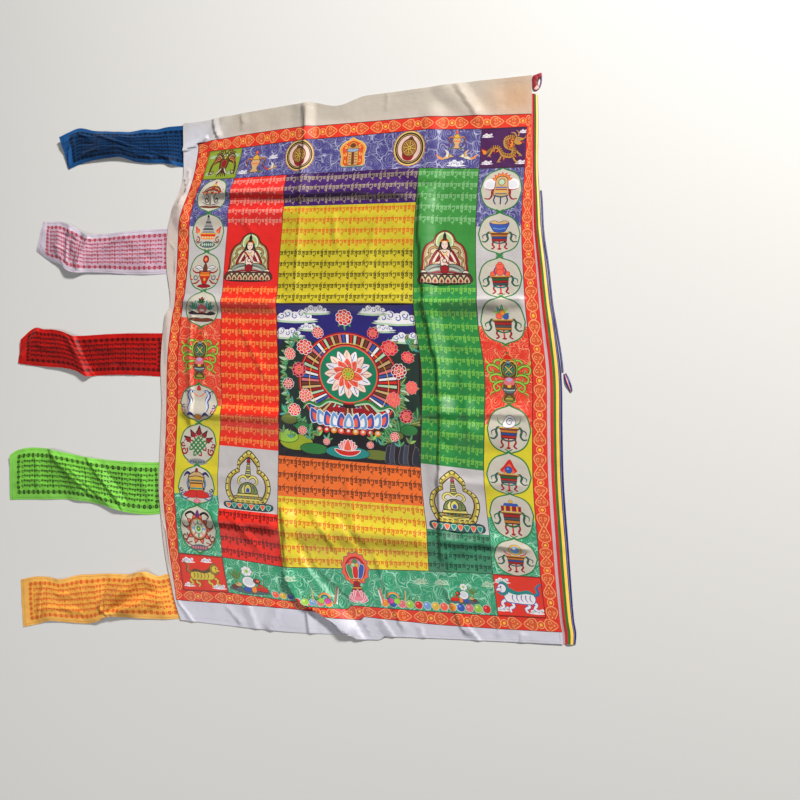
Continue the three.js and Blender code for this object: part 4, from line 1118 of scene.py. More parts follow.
def seated_figure(p, rim, glow):
    """A small seated figure on a lotus, with a plain face."""
    q = p
    arch = [(-41, -30), (-47, -12), (-46, 8), (-38, 23), (-25, 31), (-18, 43), (0, 51), (18, 43), (25, 31), (38, 23), (46, 8), (47, -12), (41, -30)]
    scaled = lambda f: smooth([(x * f, (y - 4) * f + 4) for x, y in arch], True, 3)
    for f, c in ((1.0, DARK), (0.97, rim), (0.89, rgb(222, 196, 130)), (0.865, DARK), (0.845, glow)):
        q.poly(scaled(f), c)
    for k in range(13):
        a = -0.5 + 0.345 * k
        r = q.at(0, 2, turn=a)
        r.stroke([(25, 0), (31, 2.4), (37, 0)], 1.5, (DARK, SAND)[k % 2], 3, 0.5)
    q.oval(0, 29, 20, 19.4, rgb(88, 96, 58), n=22)
    q.oval(0, 29, 18.6, 18, rgb(222, 226, 176), n=22)
    q.oval(0, 29, 15.4, 15, rgb(170, 196, 142), n=20)
    # scarf, sleeves and arms
    scarf = [(8, 15), (20, 19), (31, 13), (30, 2), (38, -4), (35, -15), (42, -20)]
    q.sides(lambda s: s.stroke(scarf, 5.4, DARK, 3, 0.4))
    q.sides(lambda s: s.stroke(scarf, 3.2, rgb(176, 138, 84), 3, 0.4))
    q.sides(lambda s: s.blob([(5, 14), (16, 13), (25, 2), (32, -14), (24, -19), (12, -6)], CRIMSON, DARK, 1.4, 3))
    q.sides(lambda s: s.stroke([(15, 9), (22, -2), (28, -13)], 1.2, rgb(222, 96, 90), 3, 0.5))
    q.sides(lambda s: s.stroke([(12, 9), (20, -3), (23, -12), (13, -10), (4, -6)], 6.2, DARK, 3, 0.8))
    q.sides(lambda s: s.stroke([(12, 9), (20, -3), (23, -12), (13, -10), (4, -6)], 4.2, SKIN, 3, 0.8))
    q.blob([(-11, 13), (-10, 2), (-7, -15), (7, -15), (10, 2), (11, 13), (0, 15)], SKIN, DARK, 1.2, 3)
    q.stroke([(-10, 11), (-2, 1), (7, -12)], 4.0, CRIMSON, 3, 0.8)
    q.stroke([(-7, 10), (0, 3.4), (7, 10)], 1.7, GOLD, 3)
    q.stroke([(-5, 12), (0, 8), (5, 12)], 1.2, DARK, 3)
    q.oval(0, -6, 4.4, 3.4, SKIN, DARK, 1.2, n=10)
    # folded legs
    q.blob([(-40, -27), (-34, -17), (-15, -12), (0, -18), (15, -12), (34, -17), (40, -27), (16, -32), (-16, -32)], rgb(140, 150, 138), DARK, 1.5, 3)
    q.sides(lambda s: s.stroke([(5, -17), (19, -18), (34, -24)], 1.5, DARK, 3, 0.5))
    q.sides(lambda s: s.stroke([(7, -21), (18, -22), (30, -26)], 2.2, rgb(206, 200, 186), 3, 0.5))
    q.sides(lambda s: s.stroke([(5, -27), (16, -27), (30, -29)], 3.4, CRIMSON, 3, 0.5))
    q.sides(lambda s: s.stroke([(4, 4), (9, -2), (8, -11)], 1.4, CRIMSON, 3, 0.5))
    q.sides(lambda s: s.oval(22.4, -11, 2.4, 2.0, GOLD, DARK, 0.7, n=6))
    q.sides(lambda s: s.blob([(38, -26), (46, -25), (50, -31), (38, -32)], rgb(226, 210, 190), DARK, 1.0, 3))
    q.blob([(-9, -19), (0, -14), (9, -19), (5, -29), (-5, -29)], CRIMSON, DARK, 1.2, 3)
    # head
    q.sides(lambda s: s.stroke([(8, 27), (11, 18), (15, 11)], 3.6, DARK, 3, 0.4))
    q.blob([(-9, 20), (-10, 29), (0, 36), (10, 29), (9, 20), (6, 15.6), (-6, 15.6)], DARK, parts=3)
    q.oval(0, 23.2, 7.0, 8.4, SKIN, DARK, 0.9, n=16)
    q.sides(lambda s: s.stroke([(1.6, 24.4), (4.8, 24.8)], 1.1, DARK, 1))
    q.stroke([(-1.8, 19), (1.8, 19)], 1.1, CORAL, 1)
    q.blob([(-10, 29), (-6, 34), (0, 39), (6, 34), (10, 29), (0, 30.6)], rgb(62, 44, 36), GOLD, 1.0, 3)
    q.blob([(-4, 37), (0, 48), (4, 37)], DARK, parts=2)
    q.sides(lambda s: s.oval(5.6, 31.6, 1.9, 2.1, RED, n=6))
    # lotus seat
    q.blob([(-54, -34), (-42, -29), (0, -31), (42, -29), (54, -34), (52, -47), (0, -50), (-52, -47)], rgb(92, 46, 44), DARK, 1.6, 3)
    for k in range(8):
        x = -45.5 + 13 * k
        q.blob([(x - 6.0, -47.0), (x - 5.2, -39.6), (x, -34.6), (x + 5.2, -39.6), (x + 6.0, -47.0)], rgb(204, 176, 140), DARK, 1.4, 3)
        q.blob([(x - 3.2, -45.6), (x, -39), (x + 3.2, -45.6)], (CRIMSON, BROWN)[k % 2], parts=2)
    for k in range(7):
        x = -39 + 13 * k
        q.poly([(x - 3.2, -32.6), (x, -38), (x + 3.2, -32.6)], rgb(196, 206, 160))
    q.stroke([(-52, -47.8), (52, -47.8)], 2.2, DARK, 1)


def stupa(p):
    arch = [(-29, -47), (-43, -34), (-49, -14), (-45, 6), (-34, 18), (-24, 24), (-24, 37), (-14, 49), (0, 59),
            (14, 49), (24, 37), (24, 24), (34, 18), (45, 6), (49, -14), (43, -34), (29, -47)]
    scaled = lambda f: smooth([(x * f, (y + 6) * f - 6) for x, y in arch], True, 3)
    straw, ochre = rgb(216, 204, 104), rgb(176, 152, 60)
    for f, c in ((1.0, DARK), (0.965, straw), (0.885, ochre)):
        p.poly(scaled(f), c)
    ring = scaled(0.92)
    for k in range(1, len(ring), 2):
        way = ring[(k + 1) % len(ring)] - ring[k - 1]
        p.at(*ring[k], turn=math.atan2(way[1], way[0])).poly([(-1.3, -2.6), (1.3, -2.6), (1.3, 2.6), (-1.3, 2.6)], rgb(84, 74, 40))
    p.poly(scaled(0.80), DARK)
    p.poly(scaled(0.755), COLOURS["cream"])
    for k in range(7):
        w, y = 6.6 - 0.66 * k, 6 + 4.3 * k
        p.poly([(-w - 1, y - 0.6), (w + 1, y - 0.6), (w, y + 4.3), (-w, y + 4.3)], rgb(70, 62, 44))
        p.poly([(-w + 0.4, y + 0.4), (w - 0.4, y + 0.4), (w - 1, y + 2.8), (-w + 1, y + 2.8)], (rgb(150, 156, 120), straw)[k % 2])
    p.blob([(-4, 35), (0, 45), (4, 35)], CRIMSON, DARK, 1.0, 3)
    wing = [(2, 4), (9, 9), (17, 6), (20, -2), (14, -6), (16, -12)]
    p.sides(lambda q: q.stroke(wing, 6.0, DARK, 3, 0.5))
    p.sides(lambda q: q.stroke(wing, 3.6, straw, 3, 0.5))
    p.blob([(-18, -24), (-19, -14), (-12, -6), (0, -2), (12, -6), (19, -14), (18, -24)], rgb(118, 132, 78), DARK, 1.8, 3)
    p.blob([(-14, -22), (-13, -14), (-8, -8), (-6, -14), (-7, -22)], rgb(214, 208, 140), parts=3)
    p.sides(lambda q: q.stroke([(10, -9), (14, -15), (13, -22)], 1.4, DARK, 3, 0.6))
    p.blob([(-6, -22), (-7, -12), (0, -5), (7, -12), (6, -22)], straw, DARK, 1.6, 3)
    p.blob([(-3.6, -21), (-3.4, -15), (0, -12), (3.4, -15), (3.6, -21)], BLUE, parts=2)
    for k, (w, c) in enumerate(((22, straw), (29, rgb(150, 156, 80)), (25, straw), (31, ochre))):
        y = -24 - 5.2 * k
        p.poly([(-w - 1, y + 0.6), (w + 1, y + 0.6), (w + 2.4, y - 5.2), (-w - 2.4, y - 5.2)], DARK)
        p.poly([(-w, y - 0.8), (w, y - 0.8), (w + 1.2, y - 4.6), (-w - 1.2, y - 4.6)], c)
    for k in range(7):
        p.oval(-21 + 7 * k, -31.8, 1.9, 1.5, (RED, BLUE)[k % 2], n=6)
    for k in range(3):
        p.sides(lambda q: q.coil(8 + 10 * k, -42, 4.0, 0.9, 1.8, straw, start=1.2, n=6))
    p.blob([(-54, -50), (-44, -44), (0, -46), (44, -44), (54, -50), (46, -58.5), (0, -60), (-46, -58.5)], rgb(34, 76, 86), DARK, 1.4, 3)
    for k in range(8):
        x = -43.7 + 12.5 * k
        p.blob([(x - 5.4, -49), (x, -58), (x + 5.4, -49), (x, -47.2)], (CORAL, TEAL)[k % 2], MINT, 1.2, 3)


def peony(p, r, inner=RED, outer=WHITE, mid=CORAL):
    for k in range(9):
        a = 2 * math.pi * k / 9
        p.oval(r * 0.72 * math.cos(a), r * 0.68 * math.sin(a), r * 0.33, r * 0.30, inner, outer, r * 0.07, n=9)
    for k in range(6):
        a = 2 * math.pi * (k + 0.5) / 6
        p.oval(r * 0.42 * math.cos(a), r * 0.40 * math.sin(a), r * 0.28, r * 0.26, mid, outer, r * 0.06, n=8)
    p.oval(0, 0, r * 0.26, r * 0.24, inner, outer, r * 0.06, n=9)
    p.oval(0, 0, r * 0.1, r * 0.1, GOLD, n=6)


def leaf_spray(p, count, length, spread, colours=(GREEN, LEAF, OLIVE)):
    for k in range(count):
        a = (k / (count - 1) - 0.5) * spread
        leaf(p.at(0, 0, turn=a), length * (1 - 0.22 * abs(a)), length * 0.34, colours[k % len(colours)], MINT)


def centre_picture(p):
    """The middle field: a lotus wheel among peonies, leaves and clouds, with a dark sky
    above and green hills and rocks below."""
    w, h = 145.0, 155.2
    night, shade, ground = rgb(40, 34, 112), rgb(30, 48, 42), rgb(22, 22, 28)
    p.poly([(-w, -h), (w, -h), (w, h), (-w, h)], night)
    p.blob([(-w, 64), (-100, 84), (-50, 74), (0, 82), (50, 74), (100, 84), (w, 64), (w, -120), (-w, -120)], shade, parts=3)
    p.poly([(-w, -h), (w, -h), (w, -96), (-w, -96)], ground)
    for x, y, s, f in ((-108, 128, 2.3, 0), (110, 127, 2.3, 1), (-62, 142, 1.5, 0), (62, 142, 1.5, 1), (-126, 92, 1.8, 1), (126, 88, 1.8, 0), (-76, 106, 1.2, 0), (78, 106, 1.2, 1)):
        cloud(p.at(x, y - 2, flip=bool(f)), MINT, NAVY, 5, s * 1.05)
        cloud(p.at(x + 2, y + 1.5, flip=bool(f)), WHITE, BLUE, 5, s)
    # leaves everywhere round the wheel
    rng = np.random.default_rng(4)
    for k in range(86):
        a = 2 * math.pi * k * 0.382
        r = 104 + 52 * ((k * 0.618) % 1)
        x, y = r * math.cos(a), r * math.sin(a) - 4
        if abs(x) < 136 and -104 < y < 92:
            leaf_spray(p.at(x, y, turn=a + rng.uniform(-1, 1)), 3, rng.uniform(15, 21), 1.9, ((LEAF, OLIVE, GREEN), (GREEN, MINT, LEAF), (TEAL, LEAF, OLIVE))[k % 3])
    for k in range(26):
        side = 1 if k % 2 else -1
        x, y = side * (74 + 66 * ((k * 0.618) % 1)), -66 - 48 * ((k * 0.382) % 1)
        leaf_spray(p.at(x, y, turn=math.pi / 2 + rng.uniform(-0.9, 0.9)), 3, rng.uniform(20, 27), 2.1, ((GREEN, LEAF, TEAL), (OLIVE, GREEN, LEAF))[k % 2])
    for k, (x, y, r, c) in enumerate(((-124, -84, 17, OLIVE), (-98, -96, 15, GREEN), (122, -88, 18, GREEN), (98, -100, 14, OLIVE))):
        p.oval(x, y, r, r * 0.6, c, DARK, 1.2, n=14)
    # the ring and its rays
    p.oval(0, -4, 104, 102, CRIMSON, n=60)
    p.oval(0, -4, 101.4, 99.4, CORAL, n=60)
    p.oval(0, -4, 99.6, 97.6, DARK, n=60)
    tones = (RED, WHITE, BLUE, ROSE, BROWN, SAND, CRIMSON, MINT)
    for k in range(72):
        a = 2 * math.pi * (k + 0.5) / 72
        q = p.at(0, -4, turn=a)
        q.poly([(50, -1.4), (97.2, -2.9), (97.2, 2.9), (50, 1.4)], tones[k % 8])
    p.oval(0, -4, 81, 79.6, None, GOLD, 1.4, n=52)
    # flowers over the ring
    for k, (x, y, r) in enumerate(((-88, 66, 16), (-102, 20, 15), (-90, -34, 14), (88, 68, 16), (102, 22, 15), (90, -32, 14), (-58, 96, 12), (58, 97, 12), (-120, 52, 12), (122, 50, 12), (-126, -10, 12), (126, -8, 12), (-114, -64, 13), (116, -62, 13))):
        leaf_spray(p.at(x, y, turn=math.atan2(y, x)), 5, r * 1.6, 3.6)
        peony(p.at(x, y, turn=k), r, (RED, CRIMSON, CORAL)[k % 3], (WHITE, PINK)[k % 2])
    leaf_spray(p.at(0, 126, turn=-math.pi / 2), 7, 26, 4.0)
    peony(p.at(0, 128), 17, RED)
    # the green disc with its flower
    p.oval(0, 14, 63, 61, CRIMSON, n=44)
    p.oval(0, 14, 60, 58, CORAL, n=44)
    p.oval(0, 14, 57.6, 55.6, rgb(16, 122, 88), n=44)
    for k in range(16):
        q = p.at(0, 14, turn=2 * math.pi * k / 16)
        q.blob([(20, -7.6), (34, -8.6), (49, 0), (34, 8.6), (20, 7.6)], (SKIN, WHITE)[k % 2], BROWN, 1.0, 3)
        q.stroke([(27, 0), (43, 0)], 1.4, (ROSE, BLUE)[k % 2], 1)
    for k in range(10):
        q = p.at(0, 14, turn=2 * math.pi * (k + 0.5) / 10)
        q.blob([(6, -6.4), (19, -8.6), (32, 0), (19, 8.6), (6, 6.4)], CORAL, WHITE, 1.2, 3)
        q.stroke([(13, 0), (27, 0)], 1.5, RED, 1)
    p.oval(0, 14, 13, 13, GOLD, BROWN, 1.2, n=20)
    for k in range(9):
        a = 2 * math.pi * k / 9
        p.oval(8.4 * math.cos(a), 14 + 8.4 * math.sin(a), 1.8, 1.8, OLIVE, n=6)
    p.oval(0, 14, 4.4, 4.4, LIME, OLIVE, 0.9, n=10)
    # blue and white petals and ribbons under it
    p.sides(lambda q: q.stroke([(12, -46), (40, -40), (62, -52), (84, -46), (96, -60)], 8.0, GREEN, 4, 0.3))
    p.sides(lambda q: q.stroke([(12, -48), (40, -43), (62, -55), (84, -49), (95, -61)], 3.0, MINT, 4, 0.3))
    p.sides(lambda q: q.stroke([(8, -58), (34, -58), (58, -70), (76, -66)], 9.0, CRIMSON, 4, 0.3))
    for k in (-5, 5, -4, 4, -3, 3, -2, 2, -1, 1, 0):
        q = p.at(13.2 * k, -92 + 0.35 * k * k, turn=-0.09 * k)
        q.blob([(-9, 0), (-10, 13), (0, 29), (10, 13), (9, 0)], (SKY, BLUE)[k % 2], WHITE, 1.4, 3)
        q.blob([(-4, 3), (-4.6, 11), (0, 20), (4.6, 11), (4, 3)], (WHITE, CORAL)[k % 2], parts=3)
    for k in range(9):
        x = -60 + 15 * k
        p.oval(x, -99, 7.0, 6.2, (CORAL, RED, AMBER)[k % 3], DARK, 1.1, n=12)
        p.oval(x, -98, 3.2, 2.8, CREAM, n=8)
    # the ground: a bright hill on the left, rocks on the right, a lotus pool between
    for x, y, rx, ry, c in ((-108, -128, 36, 16, rgb(150, 168, 40)), (-128, -118, 24, 12, LIME), (-70, -138, 30, 11, GREEN), (60, -140, 34, 10, OLIVE), (0, -140, 46, 13, TEAL)):
        p.oval(x, y, rx, ry, c, DARK, 1.2, n=18)
    for k in range(7):
        x = 84 + 9 * k
        p.blob([(x - 7, -152), (x - 5, -126 + 8 * (k % 3)), (x, -118 + 7 * (k % 2)), (x + 6, -128 + 6 * (k % 3)), (x + 8, -152)], (rgb(38, 40, 52), rgb(58, 62, 78), DARK)[k % 3], rgb(104, 110, 124), 0.9, 3)
    for k in range(15):
        x = -136 + 18.6 * k
        if abs(x) > 34:
            leaf_spray(p.at(x, -112 - 8 * (k % 2), turn=math.pi / 2 + 0.3 * math.sin(k * 2.1)), 3, 17, 1.8, ((LIME, LEAF, OLIVE), (GREEN, LEAF, TEAL))[k % 2])
    for x, y, r in ((-96, -104, 9), (94, -102, 9), (-44, -122, 7), (46, -122, 7)):
        peony(p.at(x, y), r, RED)
    q = p.at(0, -136)
    for k in (-3, 3, -2, 2, -1, 1, 0):
        q.at(0, 0, turn=-0.36 * k).blob([(-6.6, 0), (-7, 9), (0, 22), (7, 9), (6.6, 0)], (CORAL, PINK)[k % 2], WHITE, 1.2, 3)
    q.blob([(-27, 2), (-17, -8), (0, -11), (17, -8), (27, 2), (0, -1)], RED, WHITE, 1.2, 3)
    p.loop([(-w + 1.2, -h + 1.2), (w - 1.2, -h + 1.2), (w - 1.2, h - 1.2), (-w + 1.2, h - 1.2)], 1.6, DARK)


def offering_pile(p):
    """The heap of small offerings in the lower band."""
    p.blob([(-46, -22), (-30, -15), (0, -17), (30, -15), (46, -22), (0, -28)], SLATE, DARK, 0.8)
    for x, y, r, c in ((-34, -16, 7, BROWN), (-24, -10, 8, SAND), (24, -16, 7, LIME), (36, -17, 6, RED)):
        p.oval(x, y, r, r * 0.6, c, DARK, 0.7, n=14)
    for k in range(5):
        leaf(p.at(-25, 0, turn=1.1 + 0.34 * k), 24, 6, (OLIVE, LEAF)[k % 2])
    p.blob([(-4, -8), (-14, -20), (-2, -24), (4, -16)], BLUE, NAVY, 0.8)
    p.blob([(8, -8), (4, -20), (12, -24), (18, -14)], AMBER, BROWN, 0.8)
    p.blob([(22, -4), (16, -18), (42, -18), (36, -8)], RED, DARK, 0.8)
    p.stroke([(16, -10), (40, -9)], 1.5, GREEN, 1)
    p.sides(lambda q: q.stroke([(26, -10), (33, 0), (30, 9)], 2.4, OLIVE, 3, 0.4))
    p.oval(0, -2, 15, 12, WHITE, SLATE, 1.2, n=22)
    p.oval(0, -1, 11, 8.4, rgb(208, 212, 220), n=18)
    p.oval(18, 2, 8, 6, BROWN, DARK, 0.8, n=14)
    p.oval(20, 3, 3.6, 3, CORAL, n=9)
    for k in range(7):
        a = 2 * math.pi * k / 7
        p.oval(-2 + 7.4 * math.cos(a), 21 + 6.2 * math.sin(a), 4.6, 4.2, WHITE, GREY, 0.7, n=10)
    p.oval(-2, 21, 4, 3.8, LIME, n=9)


def jewel_vase(p):
    """The flaming vase of the lower band, on its lotus."""
    pts = []
    for k in range(26):
        a = 2 * math.pi * k / 26
        pts.append(((30 if k % 2 else 34.5) * math.cos(a) * 0.93, 26 + (31 if k % 2 else 36) * math.sin(a)))
    p.poly(pts, SLATE)
    p.poly([(x * 0.95, (y - 26) * 0.95 + 26) for x, y in pts], CORAL)
    p.oval(0, 26, 22, 24.5, CRIMSON, RED, 1.4, n=26)
    p.oval(0, 26, 18.4, 21, ROSE, n=24)
    for x, c, k in ((-8, LEAF, -0.28), (8, BLUE, 0.28), (0, RED, 0)):
        p.at(x, 8, turn=-k).blob([(-4, 0), (-6.4, 14), (-4, 27), (4, 27), (6.4, 14), (4, 0)], c, CREAM, 0.9)
    for x, y, c in ((-9, 37, CORAL), (9, 38, LILAC), (0, 42, LEAF), (4, 34, GOLD), (-4, 34, MINT)):
        p.oval(x, y, 4.6, 4.2, c, DARK, 0.6, n=10)
    for k in range(7):
        p.oval(-15 + 5 * k, 2 - 0.25 * (k - 3) ** 2 * -1, 2.6, 3.2, (AMBER, CORAL)[k % 2], BROWN, 0.6, n=9)
    p.blob([(-5, 0), (-7, -8), (-10, -16), (-13, -26), (13, -26), (10, -16), (7, -8), (5, 0)], CRIMSON, DARK, 0.9)
    p.stroke([(-9, -13), (9, -13)], 2.0, GOLD, 1)
    p.stroke([(-11, -20), (11, -20)], 1.6, ROSE, 1)
    q = p.at(0, -40)
    for k in (-4, 4, -3, 3, -2, 2, -1, 1, 0):
        q.at(0, 0, turn=-0.36 * k).blob([(-4.4, 2), (-5.6, 12), (0, 24 - 0.6 * abs(k)), (5.6, 12), (4.4, 2)], (ROSE, PINK)[k % 2], WHITE, 1.0, 3)
    q.oval(0, 4, 8, 5, PINK, ROSE, 0.8, n=12)


def balls(p, xs, colours):
    for x, c in zip(xs, colours):
        p.oval(x, 0, 7.6, 7.2, c, WHITE, 0.5, n=16)
        p.oval(x - 2, 2.4, 2.4, 1.9, tuple(min(1, v * 1.5 + 0.12) for v in c), n=8)


def side_gifts(p):
    """Rainbow arch, folded silks and sticks, on each side of the lotus."""
    for r, c in ((14, CORAL), (12, GOLD), (10, LEAF), (8, BLUE)):
        a = np.linspace(0.05, math.pi - 0.05, 12)
        p.poly(np.vstack([np.column_stack([r * np.cos(a), r * np.sin(a) * 0.9]), np.column_stack([(r - 2) * np.cos(a[::-1]), (r - 2) * np.sin(a[::-1]) * 0.9])]), c)
    p.oval(-8, -6, 7, 6, LIME, OLIVE, 0.7, n=14)
    p.oval(6, -6, 7.4, 6.4, rgb(206, 70, 160), DARK, 0.6, n=14)
    p.poly([(20, -12), (26, 20), (28.4, 19), (23, -12)], CORAL)
    p.poly([(24, -12), (30, 16), (32, 15), (27, -12)], WHITE)
    p.poly([(-27, -12), (-29, 16), (-26.4, 17), (-24, -12)], SAND)


# ---- where the motifs stand on the cut -------------------------------------------
def split(breaks, step):
    out = []
    for a, b in zip(breaks, breaks[1:]):
        n = max(1, math.ceil((b - a) / step - 1e-6))
        out += [a + (b - a) * k / n for k in range(n)]
    return np.array(out + [breaks[-1]])


S_BREAKS = [0, 28, 29.2, 54.2, 55.4, 154.4, 155.6, 284.4, 285.6, 392, 476, 577.4, 578.6, 699.4, 700.6, 789, 790.2, 816]
T_BREAKS = [0, 62, 63.2, 88, 89.2, 160.4, 161.6, 229, 275, 319.7, 396, 432.4, 433.6, 471, 656, 738, 745.4, 746.6, 824, 834,
            863, 912, 947.4, 948.6, 1019.4, 1020.6, 1042, 1043.2, 1080]


def draw_border(axis, fixed, first, pitch, count, turn):
    def draw(shapes):
        for k in range(count):
            at = first + pitch * k
            s, t = (at, fixed) if axis == 0 else (fixed, at)
            border_unit(Pen(shapes, s, t, 1.0, turn))
    return draw


LEFT_EMBLEMS = [(103, 200, parasol), (105, 286, bowl_tower), (104, 368, vase), (106, 449, open_lotus), (106, 554, vase_banner),
                (104, 651, fishes), (106, 737, knot), (106, 819, victory), (105, 903, wheel_emblem)]
RIGHT_EMBLEMS = [(746, 204), (746, 290), (746, 382), (746, 463), (746, 571), (746, 662), (746, 744), (746, 826), (746, 908)]


def draw_left(shapes):
    for s, t, emblem in LEFT_EMBLEMS:
        p = Pen(shapes, s, t)
        if emblem is not vase_banner:
            medallion(p, PAPER, GREEN, 44.5, 41.5)
            p = p.at(0, -1, 1.12)
        emblem(p)


def draw_right(shapes):
    which = 0
    for s, t in RIGHT_EMBLEMS:
        p = Pen(shapes, s, t)
        if t == 571:
            vase_banner(p.at(0, 0, 0.96))
            continue
        medallion(p, PAPER, GREEN, 43.4, 43.2)
        treasure(p.at(0, 0, 1.04), which)
        which += 1


def draw_top(shapes):
    big_wheel(Pen(shapes, 312, 121), 34.5, 0.1)
    big_wheel(Pen(shapes, 555, 122), 34.5, -0.2)
    flame_arch(Pen(shapes, 433, 122, 0.92))
    urn(Pen(shapes, 200, 128, 1.2))
    small_bird(Pen(shapes, 246, 144, 1.0), (SAND, CREAM, RED))
    urn(Pen(shapes, 652, 110, 0.8))
    small_bird(Pen(shapes, 634, 142, 1.1), (SAND, CREAM, AMBER))
    small_bird(Pen(shapes, 672, 142, 1.1, flip=True), (CREAM, SAND, AMBER))
    for s, t, f in ((246, 118, 0.8), (653, 152, 1.1), (172, 148, 0.8)):
        cloud(Pen(shapes, s, t, f), WHITE, BLUE, 4)


def draw_corner(s, t, ground, beast):
    def draw(shapes):
        p = Pen(shapes, s, t)
        rect = shapes.rect
        p.shapes.add([[(rect[0], rect[2]), (rect[1], rect[2]), (rect[1], rect[3]), (rect[0], rect[3])]], ground)
        p.loop([(-48, -34.4), (48, -34.4), (48, 34.4), (-48, 34.4)], 0.9, DARK)
        beast(p)
    return draw


def corner_garuda(p):
    for x, y, f in ((-34, -22, 0.8), (34, -21, 0.8), (-35, 20, 0.7), (35, 20, 0.7)):
        cloud(p.at(x, y, f), MINT, GREEN, 4)
    garuda(p.at(3, 2, 1.2))


def corner_dragon(p):
    for x, y, f in ((-34, 23, 0.7), (-32, -26, 0.7), (34, -27, 0.7), (36, 28, 0.6)):
        cloud(p.at(x, y, f), WHITE, PURPLE, 4)
    dragon(p.at(-4, -2, 1.0))


def corner_tiger(p):
    for x, y, f in ((-30, 24, 0.95), (32, -26, 0.95), (-34, -24, 0.8), (12, 26, 0.8)):
        cloud(p.at(x, y, f), WHITE, BLUE, 4)
    striding_beast(p.at(-1, -3, 1.2), rgb(212, 190, 66), BROWN, rgb(96, 70, 40), rgb(150, 132, 50))


def corner_lion(p):
    for x, y, f in ((-30, 24, 0.95), (30, -26, 0.95), (-34, -24, 0.8)):
        cloud(p.at(x, y, f), WHITE, TEAL, 4)
    striding_beast(p.at(0, -3, 1.28, flip=True), WHITE, BLUE, TEAL, TEAL)


def draw_bottom(shapes):
    for s, c in ((330, CORAL), (352, LIME), (520, CORAL), (542, LIME)):
        leaf_spray(Pen(shapes, s, 1016, 1.0, -0.3).at(0, 0, turn=math.pi / 2), 3, 26, 1.3, (c, LEAF, GREEN))
    balls(Pen(shapes, 0, 1010), [262 + 16.2 * k for k in range(8)], [(CORAL, GOLD, BLUE, RED, LIME, SKY, ROSE, AMBER)[k % 8] for k in range(8)])
    balls(Pen(shapes, 0, 1010), [486 + 16.2 * k for k in range(13)], [(AMBER, BLUE, ROSE, LIME, RED, SKY, GOLD, CORAL)[k % 8] for k in range(13)])
    offering_pile(Pen(shapes, 206, 989, 0.98))
    offering_pile(Pen(shapes, 640, 987, 0.6, flip=True))
    side_gifts(Pen(shapes, 368, 1000, 0.9))
    side_gifts(Pen(shapes, 503, 1000, 0.9, flip=True))
    for s in (300, 560, 600, 690):
        cloud(Pen(shapes, s, 968, 0.9), MINT, TEAL, 4)
    jewel_vase(Pen(shapes, 434, 972, 0.92))


QUARTER = math.pi / 2
# Each zone: its rectangles (whole cells of the grid), the lines that cut it, its motifs.
ZONES = [
    ([(29.2, 816, 63.2, 88)], (), draw_border(0, 75.6, 16.7, 69.3, 12, 0.0)),
    ([(29.2, 816, 1020.6, 1042)], (), draw_border(0, 1031.3, 16.7, 69.3, 12, 0.0)),
    ([(29.2, 54.2, 88, 1020.6)], (), draw_border(1, 41.7, 93, 60.0, 16, QUARTER)),
    ([(790.2, 816, 88, 1020.6)], (), draw_border(1, 802.6, 93, 60.0, 16, QUARTER)),
    ([(55.4, 154.4, 161.6, 947.4)], (275, 471, 656, 834), draw_left),
    ([(700.6, 789, 161.6, 947.4)], (275, 471, 656, 834), draw_right),
    ([(55.4, 154.4, 89.2, 160.4)], (), draw_corner(105, 125, COLOURS["moss"], corner_garuda)),
    ([(700.6, 789, 89.2, 160.4)], (), draw_corner(746, 125, COLOURS["plum"], corner_dragon)),
    ([(55.4, 154.4, 948.6, 1019.4)], (), draw_corner(105, 984, COLOURS["rose"], corner_tiger)),
    ([(700.6, 789, 948.6, 1019.4)], (), draw_corner(746, 984, COLOURS["rose"], corner_lion)),
    ([(155.6, 699.4, 89.2, 160.4)], (), draw_top),
    ([(155.6, 284.4, 275, 396)], (), lambda shapes: seated_figure(Pen(shapes, 214, 338, 1.0), BROWN, rgb(196, 208, 160))),
    ([(578.6, 699.4, 275, 396)], (), lambda shapes: seated_figure(Pen(Stretched(shapes, 639, 283, 0.87, 1.03), 640, 338, 1.08), CRIMSON, rgb(206, 186, 150))),
    ([(155.6, 284.4, 738, 863)], (), lambda shapes: stupa(Pen(shapes, 221, 801, 1.0))),
    ([(578.6, 699.4, 738, 863)], (), lambda shapes: stupa(Pen(shapes, 639, 803, 1.0))),
    ([(285.6, 577.4, 433.6, 745.4)], (), lambda shapes: centre_picture(Pen(shapes, 431.5, 589.5, 1.0))),
    ([(155.6, 699.4, 948.6, 1019.4), (392, 476, 912, 948.6)], (947.4,), draw_bottom),
]


# ---- the panel's mesh ------------------------------------------------------------
def crease_points():
    """Places along the creases, on the line and just beside it, for the mesh to follow."""
    out = []
    for first, second, rise, fade, points in CREASES:
        if abs(rise) < 1.9:
            continue
        for off in (-1.6, 0, 1.6):
            for (a0, d0), (a1, d1) in zip(points, points[1:]):
                size = math.dist((a0, d0), (a1, d1))
                n = max(1, int(size / 5))
                for k in range(n):
                    f = (k + 0.5) / n
                    out.append((a0 + (a1 - a0) * f - (d1 - d0) / size * off, d0 + (d1 - d0) * f + (a1 - a0) / size * off))
    return np.array(out)


